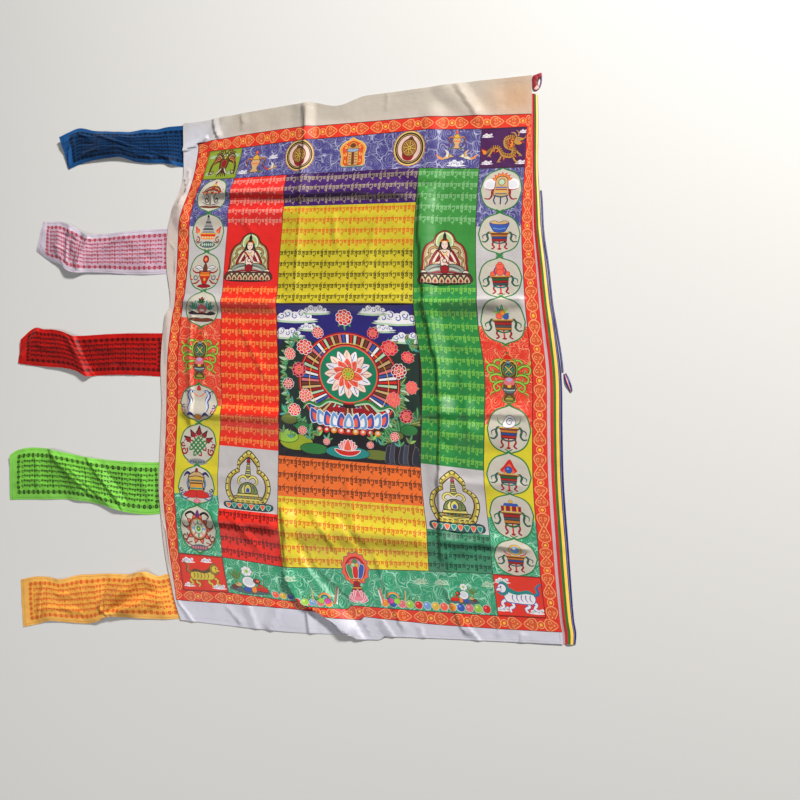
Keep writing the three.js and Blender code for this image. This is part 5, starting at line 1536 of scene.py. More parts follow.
def panel_faces():
    """The printed side's places on the cut, its faces with their colours, and the
    grid's lines."""
    S, T = split(S_BREAKS, STEP), split(T_BREAKS, STEP)
    ns, nt = len(S), len(T)
    st = [np.column_stack([np.tile(S, nt), np.repeat(T, ns)])]
    count = ns * nt
    mid_s, mid_t = (S[1:] + S[:-1]) / 2, (T[1:] + T[:-1]) / 2
    zone_of = np.full((nt - 1, ns - 1), -1)
    for n, (rects, _, _) in enumerate(ZONES):
        for s0, s1, t0, t1 in rects:
            zone_of[np.ix_((mid_t > t0) & (mid_t < t1), (mid_s > s0) & (mid_s < s1))] = n
    # plain cells that a crease crosses are cut finer, as zones with nothing drawn on them
    extra = crease_points()
    zones = list(ZONES)
    col, row = np.searchsorted(S, extra[:, 0]) - 1, np.searchsorted(T, extra[:, 1]) - 1
    inside = (col >= 0) & (col < ns - 1) & (row >= 0) & (row < nt - 1)
    extra, col, row = extra[inside], col[inside], row[inside]
    off_line = np.minimum.reduce([extra[:, 0] - S[col], S[col + 1] - extra[:, 0], extra[:, 1] - T[row], T[row + 1] - extra[:, 1]])
    extra, col, row = (x[off_line > 0.35] for x in (extra, col, row))
    crossed = np.zeros_like(zone_of, bool)
    crossed[row, col] = True
    mid_field = field_paint(FIELDS, np.tile(mid_s, nt - 1), np.repeat(mid_t, ns - 1))[2].reshape(nt - 1, ns - 1)
    for field in np.unique(mid_field[(zone_of < 0) & crossed]):
        zone_of[(zone_of < 0) & crossed & (mid_field == field)] = len(zones)
        zones.append((None, (), None))

    j, i = np.nonzero(zone_of < 0)
    a = j * ns + i
    quads = np.column_stack([a, a + ns, a + ns + 1, a + 1])
    faces = quads.tolist()
    base, ink, which = field_paint(FIELDS, mid_s[i], mid_t[j])
    m = which == 0
    base[m] = margin_colour_and_light(mid_s[i][m], mid_t[j][m])
    bases, inks, whiches = [base], [ink], [which]

    for n, (rects, cuts, draw) in enumerate(zones):
        shapes = Shapes(rects[0] if rects and len(rects) == 1 else None)
        if draw:
            draw(shapes)
        cj, ci = np.nonzero(zone_of == n)
        corner = cj * ns + ci
        used = np.unique(np.concatenate([corner, corner + 1, corner + ns, corner + ns + 1]))
        local = {g: k for k, g in enumerate(used.tolist())}
        points = [Vector((s, -t)) for s, t in st[0][used]]
        # the zone's outline, and the lines that cut it where the field's colour changes
        edges = {}
        for c in corner.tolist():
            for e in ((c, c + 1), (c + ns, c + ns + 1), (c, c + ns), (c + 1, c + ns + 1)):
                edges[e] = edges.get(e, 0) + 1
        keep = [e for e, times in edges.items() if times == 1]
        for cut in cuts:
            row = int(np.argmin(np.abs(T - cut)))
            keep += [e for e in edges if e[0] // ns == row and e[1] == e[0] + 1 and edges[e] == 2]
        lines = [(local[a], local[b]) for a, b in keep]
        points += [Vector((s, -t)) for s, t in extra[zone_of[row, col] == n]]
        for a, b in zip(*seen_edges(shapes)) if draw else ():
            lines.append((len(points), len(points) + 1))
            points += [Vector((a[0], -a[1])), Vector((b[0], -b[1]))]
        verts, _, tris, origin, _, _ = delaunay_2d_cdt(points, lines, [], 1, 0.002)
        number = np.empty(len(verts), int)
        fresh = []
        for k, (v, from_points) in enumerate(zip(verts, origin)):
            on_grid = [o for o in from_points if o < len(used)]
            if on_grid:
                number[k] = used[on_grid[0]]
            else:
                number[k] = count + len(fresh)
                fresh.append((v[0], -v[1]))
        tris = np.array(tris)
        xy = np.array([(v[0], v[1]) for v in verts])
        p, q, r = xy[tris[:, 0]], xy[tris[:, 1]], xy[tris[:, 2]]
        area = (q[:, 0] - p[:, 0]) * (r[:, 1] - p[:, 1]) - (q[:, 1] - p[:, 1]) * (r[:, 0] - p[:, 0])
        tris = np.where(area[:, None] < 0, tris[:, ::-1], tris)[np.abs(area) > 1e-7]
        mid = xy[tris].mean(1)
        base, ink, which = field_paint(FIELDS, mid[:, 0], -mid[:, 1])
        m = which == 0
        base[m] = margin_colour_and_light(mid[m, 0], -mid[m, 1])
        ink[m, :3] = base[m]
        if draw:
            top = shapes.paint(mid[:, 0], -mid[:, 1])
            colours = np.array([c for _, c in shapes.items])
            on = top >= 0
            base[on] = colours[top[on]]
            ink[on, :3] = base[on]
            ink[on, 3] = 0
        faces += number[tris].tolist()
        st.append(np.array(fresh).reshape(-1, 2))
        count += len(fresh)
        bases.append(base)
        inks.append(ink)
        whiches.append(which)
    return np.vstack(st), faces, np.vstack(bases), np.vstack(inks), np.concatenate(whiches), S, T


def write_mesh(name, places, normals, faces, prints, inks, pattern, bake):
    """A mesh object with its printed colours, inks and maps, given for each corner."""
    mesh = bpy.data.meshes.new(name)
    mesh.from_pydata(places.tolist(), [], faces)
    for title, data in (("Print", prints), ("Ink", inks)):
        layer = mesh.attributes.new(title, "FLOAT_COLOR", "CORNER")
        if data.shape[1] == 3:
            data = np.column_stack([data, np.ones(len(data))])
        layer.data.foreach_set("color", data.astype(np.float32).ravel())
    for title, data in (("OFBake", bake), ("Pattern", pattern)):
        layer = mesh.uv_layers.new(name=title)
        layer.data.foreach_set("uv", data.astype(np.float32).ravel())
    mesh.shade_smooth()
    if normals is not None:
        mesh.normals_split_custom_set(normals.tolist())
    mesh.update()
    piece = bpy.data.objects.new(name, mesh)
    bpy.context.scene.collection.objects.link(piece)
    return piece


def make_panel():
    st, faces, base, ink, which, S, T = panel_faces()
    ns, nt = len(S), len(T)
    front, front_normals = settle(lie, st[:, 0], st[:, 1], CLEAR + THICK, (WIDE, LONG))

    # the back is coarser, and nowhere above the cloth's underside
    back_i = sorted(set(range(0, ns, 2)) | {ns - 1})
    back_j = sorted(set(range(0, nt, 2)) | {nt - 1})
    bs, bt = np.tile(S[back_i], len(back_j)), np.repeat(T[back_j], len(back_i))
    back, back_normals = settle(lie, bs, bt, CLEAR, (WIDE, LONG))
    low = np.full(len(bs), 1e9)
    for ds in (-7, -3.5, 0, 3.5, 7):
        for dt in (-7, -3.5, 0, 3.5, 7):
            low = np.minimum(low, height(np.clip(bs + ds, 0, WIDE), np.clip(bt + dt, 0, LONG)))
    back[:, 2] = np.maximum(low + CLEAR - 0.05, 0.04) / 1000
    nb, first = len(back_i), len(st)
    b_faces = []
    for j in range(len(back_j) - 1):
        for i in range(nb - 1):
            a = first + j * nb + i
            b_faces.append([a, a + 1, a + nb + 1, a + nb])
    at_back = lambda i, j: first + j * nb + i
    rim = []
    last_i, last_j = nb - 1, len(back_j) - 1
    for k in range(last_i):
        run = range(back_i[k], back_i[k + 1] + 1)
        rim.append([at_back(k + 1, 0), at_back(k, 0)] + list(run))
        rim.append([at_back(k, last_j), at_back(k + 1, last_j)] + [(nt - 1) * ns + i for i in reversed(run)])
    for k in range(last_j):
        run = range(back_j[k], back_j[k + 1] + 1)
        rim.append([at_back(0, k), at_back(0, k + 1)] + [j * ns for j in reversed(run)])
        rim.append([at_back(last_i, k + 1), at_back(last_i, k)] + [j * ns + ns - 1 for j in run])
    every = faces + b_faces + rim
    places = np.vstack([front, back])
    cut = np.vstack([st, np.column_stack([bs, bt])])
    corner_vertex = np.array([v for f in every for v in f])
    sizes = np.array([len(f) for f in every])
    corner_face = np.repeat(np.arange(len(every)), sizes)
    front_count = len(faces)
    is_front = corner_face < front_count

    # the print shows through on the back, paler
    mid_s = np.array([cut[f, 0].mean() for f in b_faces])
    mid_t = np.array([cut[f, 1].mean() for f in b_faces])
    b_base, b_ink, b_which = field_paint(FIELDS, mid_s, mid_t)
    m = b_which == 0
    b_base[m] = margin_colour_and_light(mid_s[m], mid_t[m])
    b_ink[m, :3] = b_base[m]
    b_base = b_base * 0.62 + 0.30
    b_ink[:, :3] = b_ink[:, :3] * 0.5 + b_base * 0.5
    r_base = np.tile(rgb(206, 198, 196), (len(rim), 1))
    r_ink = np.column_stack([r_base, np.zeros(len(rim))])
    base = np.vstack([base, b_base, r_base])
    ink = np.vstack([ink, b_ink, r_ink])
    which = np.concatenate([which, b_which, np.zeros(len(rim), int)])

    s, t = cut[corner_vertex].T
    pattern = np.column_stack(pattern_place(FIELDS, which[corner_face], s, t))
    k = 0.98 / LONG
    bake = np.where(is_front[:, None], np.column_stack([0.01 + s * k, 0.99 - t * k]), np.column_stack([0.78 + s / WIDE * 0.21, 0.99 - t * k]))
    vertex_normals = np.vstack([front_normals, -back_normals])
    normals = vertex_normals[corner_vertex]
    normals[corner_face >= front_count + len(b_faces)] = 0
    piece = write_mesh("panel_cloth", places, normals, every, base[corner_face], ink[corner_face], pattern, bake)
    return piece


# ---- the streamers ---------------------------------------------------------------
# From the sewn end outwards: the upper edge's place, the lower edge's place, and how
# high the cloth lies at its upper edge, middle and lower edge.
STREAMERS = {
    "blue": [
        (-8, 1044, -1, 949, 0, 0, 0), (-28, 1046, -21, 951, 0, 0, 0), (-63, 1048, -51, 960, 0, 2, 3),
        (-91, 1047, -71, 966, 0, 4, 1), (-121, 1050, -106, 971, 2, 5, 1), (-157, 1049, -142, 979, 4, 9, 2),
        (-186, 1053, -178, 993, 5, 12, 5), (-217, 1059, -215, 996, 4, 11, 4), (-252, 1066, -252, 996, 2, 7, 3),
        (-293, 1079, -289, 993, 1, 3, 0), (-317, 1071, -305, 989, 6, 3, 0), (-341, 1061, -318, 985, 9, 4, 0),
    ],
    "white": [
        (-42, 817, -39, 715, 0, 0, 0), (-59, 818, -56, 718, 0, 0, 0), (-101, 820, -98, 720, 0, 2, 0),
        (-147, 821, -143, 724, 2, 3, 0), (-198, 822, -192, 731, 1, 3, 1), (-234, 822, -231, 736, 4, 2, 2),
        (-259, 823, -265, 739, 9, 6, 3), (-282, 838, -283, 739, 3, 11, 8), (-312, 854, -305, 746, 4, 3, 10),
        (-337, 864, -327, 763, 1, 4, 5), (-364, 866, -360, 776, 0, 2, 1), (-381, 869, -397, 801, 0, 1, 0),
    ],
    "red": [
        (-50, 589, -48, 494, 0, 0, 0), (-65, 589, -65, 496, 0, 0, 0), (-119, 592, -111, 501, 2, 1, 0),
        (-169, 595, -166, 505, 1, 3, 1), (-220, 596, -204, 506, 1, 1, 0), (-276, 597, -236, 506, 1, 1, 1),
        (-288, 598, -246, 505, 7, 8, 7), (-312, 608, -274, 519, 6.4, 7.2, 6.2), (-339, 615, -308, 527, 4.4, 5.6, 4.4),
        (-366, 618, -348, 532, 2.4, 4, 2.4), (-393, 622, -394, 538, 3, 2.4, 0.6), (-427, 598, -434, 545, 4, 1, 0),
    ],
    "green": [
        (-50, 317, -45, 211, 0, 0, 0), (-67, 316, -57, 210, 0, 0, 0), (-86, 316, -88, 208, 1, 2, 0),
        (-130, 318, -131, 212, 1, 3, 2), (-179, 322, -161, 219, 0, 3, 6), (-214, 326, -193, 227, 2, 7, 3),
        (-247, 331, -226, 234, 2, 4, 1), (-281, 338, -256, 238, 2, 7, 3), (-320, 346, -292, 241, 7, 3, 0),
        (-344, 351, -333, 241, 2, 2, 0), (-392, 354, -386, 241, 1, 3, 0), (-427, 348, -421, 241, 2, 2, 0),
        (-442, 338, -438, 241, 4, 1, 0),
    ],
    "yellow": [
        (-14, 91, 7, -3, 0, 0, 0), (-35, 89, -9, 0, 0, 0, 0), (-60, 84, -41, -2, 1, 3, 0), (-89, 93, -86, -2, 7, 5, 1),
        (-127, 86, -129, -1, 3, 9, 2), (-156, 86, -155, 0, 1, 6, 4), (-187, 86, -179, -2, 1, 3, 8),
        (-212, 84, -198, -11, 2, 4, 5), (-249, 82, -225, -17, 2, 3, 1), (-297, 72, -283, -16, 4, 3, 1),
        (-328, 76, -321, -15, 1, 4, 3), (-361, 76, -351, -23, 2, 2, 0), (-400, 69, -388, -30, 0, 0, 0),
    ],
}
STREAMER_WIDE = 100.0

# The small creases of each streamer, as on the panel: along it from the sewn end, and
# across it from its upper edge.
STREAMER_CREASES = {
    "blue": [
        (12, 8, 2.4, 22, [(40, 96), (110, 60), (190, 40), (250, 10)]), (9, 7, -2.2, 22, [(60, 80), (140, 48), (200, 30)]),
        (8, 10, 2.2, 20, [(90, 90), (150, 66), (215, 62), (290, 80)]), (7, 6, -1.8, 20, [(110, 80), (180, 56), (240, 70)]),
        (9, 7, 2.6, 18, [(250, 30), (290, 18), (335, 26)]), (7, 7, -1.6, 18, [(240, 46), (300, 44), (340, 50)]),
        (6, 9, 1.8, 14, [(60, 20), (120, 26), (180, 20)]), (10, 6, 2.2, 14, [(296, 4), (318, 50), (326, 96)]),
    ],
    "white": [
        (12, 5, 3.8, 10, [(213, 2), (226, 40), (242, 96)]), (5, 14, -2.6, 12, [(228, 6), (244, 50), (258, 94)]),
        (8, 9, 2.6, 14, [(262, 4), (276, 40), (276, 92)]), (8, 7, 1.8, 18, [(110, 6), (180, 34), (214, 60)]),
        (7, 6, -1.4, 18, [(120, 20), (170, 44), (206, 74)]), (5, 8, 1.8, 12, [(250, 40), (286, 62), (322, 58)]),
        (6, 6, -1.6, 12, [(240, 30), (262, 24), (300, 30)]), (12, 18, 1.6, 20, [(300, 10), (306, 90)]),
        (9, 9, 1.2, 30, [(30, 40), (110, 60), (190, 88)]),
    ],
    "red": [
        (4, 26, 1.8, 8, [(200, 98), (219, 50), (242, 2)]), (26, 4, -2.2, 10, [(192, 98), (211, 50), (234, 2)]),
        (12, 14, 1.6, 30, [(20, 26), (110, 36), (190, 30)]), (12, 12, 1.3, 30, [(40, 74), (130, 66), (188, 76)]),
        (12, 14, 1.8, 22, [(250, 30), (300, 50), (350, 40)]), (4, 10, 2.4, 8, [(330, 2), (366, 40), (382, 76)]),
    ],
    "green": [
        (20, 7, 4.0, 16, [(290, -4), (255, 29), (176, 90)]), (20, 7, 3.8, 16, [(188, -4), (160, 33), (98, 100)]),
        (14, 6, 2.4, 16, [(236, 28), (190, 62), (138, 98)]), (10, 8, -1.8, 16, [(152, 4), (126, 40), (86, 84)]),
        (8, 6, 1.6, 14, [(146, 52), (116, 76), (96, 88)]), (8, 12, 1.4, 20, [(300, 70), (350, 60), (392, 70)]),
        (10, 8, 1.4, 12, [(330, 8), (318, 50), (322, 92)]), (10, 10, 1.4, 20, [(70, 8), (44, 50), (26, 92)]),
    ],
    "yellow": [
        (30, 18, 7.6, 8, [(80, -6), (128, 36), (186, 92)]), (26, 5, -4.6, 8, [(4, 14), (96, 54), (184, 93)]),
        (5, 26, 3.2, 12, [(6, 26), (90, 62), (170, 98)]),
        (9, 7, 2.0, 16, [(112, 4), (150, 42), (200, 80)]), (10, 12, 1.8, 20, [(222, 10), (262, 40), (310, 34)]),
        (8, 10, 1.6, 20, [(230, 80), (290, 66), (352, 74)]), (7, 9, 1.6, 14, [(330, 4), (344, 50), (350, 96)]),
        (9, 9, 1.4, 18, [(20, 40), (56, 60), (100, 92)]),
    ],
}
STREAMER_COLOURS = {
    # cloth, print, and the cloth where it is plain at the edges
    "blue": (rgb(12, 56, 102), rgb(1, 6, 20), rgb(22, 80, 138)),
    "white": (rgb(204, 170, 190), rgb(168, 8, 34), rgb(206, 196, 212)),
    "red": (rgb(176, 18, 13), rgb(38, 3, 5), rgb(196, 20, 14)),
    "green": (rgb(122, 204, 70), rgb(24, 34, 18), rgb(134, 214, 84)),
    "yellow": (rgb(250, 178, 74), rgb(222, 84, 34), rgb(252, 188, 92)),
}
LUMPS = Lumps(30, 21, (-40, 460, -40, 160)), Lumps(13, 22, (-40, 460, -40, 160))


def run_of(rows, sides):
    """How far along the cloth each row is, by the middle of its two edges."""
    mids = [((r[0] + r[2]) / 2, (r[1] + r[3]) / 2) for r in rows]
    return np.cumsum([0] + [math.dist(a, b) for a, b in zip(mids, mids[1:])]) * sides


def streamer_surface(name, rows, long):
    knots = run_of(rows, 1.0)
    knots = knots / knots[-1] * long
    table = np.array(rows, float)
    big, small = LUMPS
    shift = 37.0 * len(name)

    def surface(u, v):
        w = curve_weights(knots, np.clip(u, 0, long))
        tx, ty, lx, ly, rt, rm, rl = (w @ table).T
        f = np.clip(v / STREAMER_WIDE, 0, 1)
        z = rt * (1 - f) * (1 - 2 * f) + 4 * rm * f * (1 - f) + rl * f * (2 * f - 1)
        for first, second, rise, fade, points in STREAMER_CREASES[name]:
            z = z + crease(u, v, first, second, rise, fade, points)
        z = z + 0.9 * big((u + shift) % 400, v) + 0.35 * small((u + shift) % 400, v) + 0.5
        z = 0.5 * (z + np.sqrt(z * z + 0.4))
        free = ease((u - 16) / 34)              # flat where it is sewn under the panel
        return np.column_stack([tx + (lx - tx) * f, ty + (ly - ty) * f, z * free])

    return surface


def streamer_fields(name, long):
    cloth, ink, edge = ((name, k) for k in ("cloth", "ink", "edge"))
    for key, value in zip((cloth, ink, edge), STREAMER_COLOURS[name]):
        COLOURS[key] = value
    hem = (name, "hem")
    COLOURS[hem] = tuple(0.55 * a + 0.1 * b for a, b in zip(COLOURS[edge], COLOURS[ink]))
    near, far, top, low, band = 16, long - 20, 10, 90, 9
    beads_along, beads_across = round((far - near) / 12.5), round((low - top) / 12.5)
    rows = 5 if name in ("red", "yellow") else 6
    return [
        (0, long, 0, STREAMER_WIDE, edge, None, PLAIN, 1, 1),
        (0, long, 3.6, 4.4, hem, None, PLAIN, 1, 1), (0, long, STREAMER_WIDE - 4.4, STREAMER_WIDE - 3.6, hem, None, PLAIN, 1, 1),
        (long - 7, long - 6.2, 0, STREAMER_WIDE, hem, None, PLAIN, 1, 1),
        (near, far, top, low, cloth, None, PLAIN, 1, 1),
        (near, far, top, top + band, cloth, ink, BEADS, beads_along, 1),
        (near, far, low - band, low, cloth, ink, BEADS, beads_along, 1),
        (near, near + band, top + band, low - band, cloth, ink, BEADS_DOWN, 1, beads_across),
        (far - band, far, top + band, low - band, cloth, ink, BEADS_DOWN, 1, beads_across),
        (near + band + 3, far - band - 3, top + band + 2.5, low - band - 2.5, cloth, ink, TEXT, round((far - near - 26) / 6.4), rows),
    ]


def make_strip(name, surface, U, V, fields, thick=THICK, clear=CLEAR, e=1.6):
    """A closed sheet with the same grid above and below."""
    nu, nv = len(U), len(V)
    u, v = np.tile(U, nv), np.repeat(V, nu)
    top, normals = settle(surface, u, v, clear + thick, (U[-1], V[-1]), e)
    low, _ = settle(surface, u, v, clear, (U[-1], V[-1]), e)
    count = nu * nv
    at = lambda i, j, side: side * count + j * nu + i
    faces, cells = [], []
    for side in (0, 1):
        for j in range(nv - 1):
            for i in range(nu - 1):
                f = [at(i, j, side), at(i, j + 1, side), at(i + 1, j + 1, side), at(i + 1, j, side)]
                faces.append(f[::-1] if side else f)
                cells.append((i, j))
    inner = len(faces)
    for i in range(nu - 1):
        faces += [[at(i, 0, 0), at(i + 1, 0, 0), at(i + 1, 0, 1), at(i, 0, 1)],
                  [at(i + 1, nv - 1, 0), at(i, nv - 1, 0), at(i, nv - 1, 1), at(i + 1, nv - 1, 1)]]
        cells += [(i, 0), (i, nv - 2)]
    for j in range(nv - 1):
        faces += [[at(0, j + 1, 0), at(0, j, 0), at(0, j, 1), at(0, j + 1, 1)],
                  [at(nu - 1, j, 0), at(nu - 1, j + 1, 0), at(nu - 1, j + 1, 1), at(nu - 1, j, 1)]]
        cells += [(0, j), (nu - 2, j)]
    # the way round depends on which way the cloth runs over the plan
    p, q, r = top[0], top[nu], top[1]
    if (q[0] - p[0]) * (r[1] - p[1]) - (q[1] - p[1]) * (r[0] - p[0]) < 0:
        faces = [f[::-1] for f in faces]
    corner_vertex = np.array(faces).ravel()
    corner_face = np.repeat(np.arange(len(faces)), 4)
    cells = np.array(cells)
    mu, mv = ((U[1:] + U[:-1]) / 2)[cells[:, 0]], ((V[1:] + V[:-1]) / 2)[cells[:, 1]]
    base, ink, which = field_paint(fields, mu, mv)
    cut = np.column_stack([np.concatenate([u, u]), np.concatenate([v, v])])
    pu, pv = cut[corner_vertex].T
    pattern = np.column_stack(pattern_place(fields, which[corner_face], pu, pv))
    front = corner_vertex < count
    k = min(0.98 / U[-1], 0.47 / V[-1])
    bake = np.where(front[:, None], np.column_stack([0.01 + pu * k, 0.01 + pv * k]), np.column_stack([0.01 + pu * k, 0.51 + pv * k]))
    normals = np.vstack([normals, -normals])[corner_vertex]
    normals[corner_face >= inner] = 0
    return write_mesh(name, np.vstack([top, low]), normals, faces, base[corner_face], ink[corner_face], pattern, bake)


def make_streamer(name):
    rows = STREAMERS[name]
    long = float(run_of(rows, 1.0)[-1])
    fields = streamer_fields(name, long)
    U = split(sorted({0.0, long} | {x for f in fields for x in f[:2]}), 4.0)
    V = split(sorted({x for f in fields for x in f[2:4]}), 4.0)
    return make_strip(f"{name}_streamer", streamer_surface(name, rows, long), U, V, fields), long


# ---- the ribbon, the ties and the loop -------------------------------------------
RIBBON_ROWS = [
    # down, shows, under, bulge, and where on the part that shows the red, the green, the
    # gap, the yellow and the navy stripe begin
    (28, 11, 9, 1.1, 0.3, 4.3, 7.2, 7.5, 10.2), (89, 12, 9, 1.1, 0.3, 4.8, 7.9, 8.3, 11.2), (161, 11, 9, 1.2, 0.3, 4.2, 7.2, 7.5, 10.2),
    (229, 14, 8.5, 1.3, 0.6, 5.4, 8.6, 9.0, 12.2), (275, 16, 7.5, 1.4, 1.6, 6.6, 9.8, 10.3, 13.8), (349, 19, 6, 1.4, 3.2, 8.4, 11.8, 12.3, 16.2),
    (433, 21, 5.5, 1.4, 4.0, 9.4, 13.0, 13.5, 18.0), (471, 24, 4, 1.2, 5.0, 10.6, 14.6, 15.2, 20.2), (563, 26.5, 3, 0.6, 5.5, 11.0, 15.2, 15.8, 21.2),
    (656, 27, 3, 0.6, 5.6, 11.2, 15.4, 15.9, 21.2), (738, 27, 3, 0.4, 5.6, 11.2, 15.4, 15.9, 21.0), (824, 27, 3, 0.6, 5.6, 11.2, 15.4, 15.9, 21.0),
    (863, 27, 3, 1.2, 5.4, 11.0, 15.4, 15.9, 21.2), (948, 26, 3.5, 1.4, 5.0, 10.4, 14.8, 15.3, 20.6), (1020, 24, 4, 2.0, 4.4, 9.6, 13.8, 14.3, 19.2),
    (1043, 24, 4, 2.0, 4.2, 9.4, 13.6, 14.1, 19.2), (1080, 21, 5, 2.0, 3.6, 8.4, 12.2, 12.7, 17.0),
]
RIBBON_DOWNS = np.array([r[0] for r in RIBBON_ROWS], float)
RIBBON_TABLE = np.array([r[1:] for r in RIBBON_ROWS], float)
RIBBON_WIDE = 30.0
COLOURS.update({
    "tape_white": rgb(214, 190, 196), "tape_red": rgb(218, 26, 30), "tape_green": rgb(46, 112, 28), "tape_yellow": rgb(244, 206, 84),
    "tape_navy": rgb(24, 24, 92), "tape_pale": rgb(150, 150, 206), "tape_gap": rgb(70, 60, 30),
})
TAPE = [
    # from, to, colour: across the ribbon from the edge that is sewn under the panel
    (0, 8.5, "tape_white"), (8.5, 13.9, "tape_red"), (13.9, 18.0, "tape_green"), (18.0, 18.5, "tape_gap"), (18.5, 23.4, "tape_yellow"),
    (23.4, 25.3, "tape_navy"), (25.3, 26.1, "tape_pale"), (26.1, 30, "tape_navy"),
]


def beside_panel(t):
    """The panel's right edge on the plan, and the way that points out from it."""
    edge = lie(np.full(len(t), WIDE), t)[:, :2]
    inside = lie(np.full(len(t), WIDE - 60), t)[:, :2]
    out = edge - inside
    return edge, out / np.linalg.norm(out, axis=1)[:, None]


def ribbon_surface(t, across):
    shows, under, bulge = (curve_weights(RIBBON_DOWNS, t) @ RIBBON_TABLE).T[:3]
    edge, out = beside_panel(t)
    w = across / RIBBON_WIDE * (under + shows) - under
    f = np.clip((w - 1.2) / (shows - 1.2), 0, 1)
    z = bulge * np.sin(np.pi * f) * (1 + 0.1 * MID(t * 1.7, across * 0.0))
    z = z + 0.35 * (1 + FINE(t * 0.9, across * 0.0 + 300)) * ease((w - 1) / 8)
    return np.column_stack([edge + w[:, None] * out, z])


def make_ribbon():
    fields = [(28, LONG, a, b, c, None, PLAIN, 1, 1) for a, b, c in TAPE]
    U = split([28.0, LONG], 7.0)
    V = split(sorted({x for a, b, _ in TAPE for x in (a, b)}), 2.2)

    # the tape is woven evenly, and lies unevenly: at the top its two edge stripes are
    # rolled under, and its end is cut on the slant
    def surface(t, across):
        table = (curve_weights(RIBBON_DOWNS, t) @ RIBBON_TABLE).T
        shows, under = table[:2]
        starts = [0.0] + [x[0] for x in TAPE[1:6]] + [RIBBON_WIDE]
        places = [-under, *table[3:], shows]
        w = np.zeros(len(t))
        for k in range(6):
            f = np.clip((across - starts[k]) / (starts[k + 1] - starts[k]), 0, 1)
            w = np.where(across >= starts[k], places[k] + (places[k + 1] - places[k]) * f, w)
        t = t + 4 * ease(1 - (t - 28) / 30) * np.clip(w / shows, 0, 1)
        return ribbon_surface(t, (w + under) / (under + shows) * RIBBON_WIDE)
    return make_strip("ribbon_tape", surface, U, V, fields, 0.5, CLEAR, 1.2)


TIE_UPPER = dict(from_down=556.0, to_down=205.0, clear=1.0, wide=3.0)
TIE_LOWER = [(769.2, 458.5, 5, 0), (771.6, 451, 7.6, 0.6), (774.4, 442, 8.4, 1.6), (777.2, 433, 7.4, 1.2), (779.4, 425, 4.6, 0.4)]


def make_tie_upper():
    COLOURS.update({"tie_dark": rgb(26, 22, 84), "tie_pale": rgb(140, 134, 196), "tie_edge": rgb(20, 18, 66)})
    long = TIE_UPPER["from_down"] - TIE_UPPER["to_down"]

    def surface(u, v):
        t = TIE_UPPER["from_down"] - u
        shows = (curve_weights(RIBBON_DOWNS, t) @ RIBBON_TABLE)[:, 0]
        edge, out = beside_panel(t)
        w = shows + TIE_UPPER["clear"] + 0.3 + v + 0.35 * np.sin(u / 23.0)
        z = 0.25 + 0.25 * np.sin(u / 17.0 + 1.0) * np.cos(u / 41.0)
        return np.column_stack([edge + w[:, None] * out, z + 0 * v])

    wide = TIE_UPPER["wide"]
    fields = [(0, long, 0, wide, "tie_dark", None, PLAIN, 1, 1), (0, long, 1.3, 2.0, "tie_pale", None, PLAIN, 1, 1),
              (0, long, 0, 0.5, "tie_edge", None, PLAIN, 1, 1)]
    U, V = split([0.0, long], 5.0), split([0.0, 0.5, 1.3, 2.0, wide], 1.0)
    piece = make_strip("upper_tie_tape", surface, U, V, fields, 0.45, CLEAR, 1.0)
    line, _ = settle(surface, U, np.full(len(U), wide / 2), CLEAR + 0.2, (long, wide))
    return piece, line


def make_tie_lower():
    table = np.array(TIE_LOWER, float)
    knots = np.concatenate([[0], np.cumsum(np.linalg.norm(np.diff(table[:, :2], axis=0), axis=1))])
    COLOURS.update({"end_navy": rgb(34, 28, 120), "end_red": rgb(196, 60, 70), "end_cream": rgb(232, 196, 170)})

    def surface(u, v):
        w = curve_weights(knots, np.clip(u, 0, knots[-1]))
        x, y, wide, rise = (w @ table).T
        ahead = curve_weights(knots, np.clip(u + 1, 0, knots[-1])) @ table - curve_weights(knots, np.clip(u - 1, 0, knots[-1])) @ table
        side = np.column_stack([-ahead[:, 1], ahead[:, 0]])
        side /= np.linalg.norm(side, axis=1)[:, None]
        off = (v / 8.0 - 0.5)
        z = rise * (1 - 1.2 * off**2) + 0.5 * np.sin(u / 5.0 + 3 * off) + 0.5
        return np.column_stack([x + side[:, 0] * off * wide, y + side[:, 1] * off * wide, np.maximum(z, 0)])

    fields = [(0, knots[-1], 0, 8, "end_navy", None, PLAIN, 1, 1), (0, knots[-1], 2.2, 3.2, "end_red", None, PLAIN, 1, 1),
              (0, knots[-1], 3.2, 4.6, "end_cream", None, PLAIN, 1, 1)]
    return make_strip("lower_tie_tape", surface, split([0.0, float(knots[-1])], 1.5), split([0.0, 2.2, 3.2, 4.6, 8.0], 1.0), fields, 0.45, CLEAR, 0.6)


LOOP = [
    # outside x, y, eye x, y
    (729, 1032, 740.3, 1021.3), (736, 1034.6, 741.6, 1023.8), (741.8, 1036.2, 742.8, 1025.6), (746.4, 1036, 743.7, 1025.6),
    (747.0, 1028.4, 744.2, 1022.4), (746.6, 1020, 743.8, 1018.2), (745.0, 1012.4, 742.6, 1014.2), (742.0, 1006.4, 741.0, 1011.6),
    (737.4, 1002.2, 739.8, 1011.6), (732.6, 1001.6, 739.0, 1012.8), (728.6, 1006, 739.0, 1015.4), (728.4, 1018.4, 739.4, 1018.6),
]


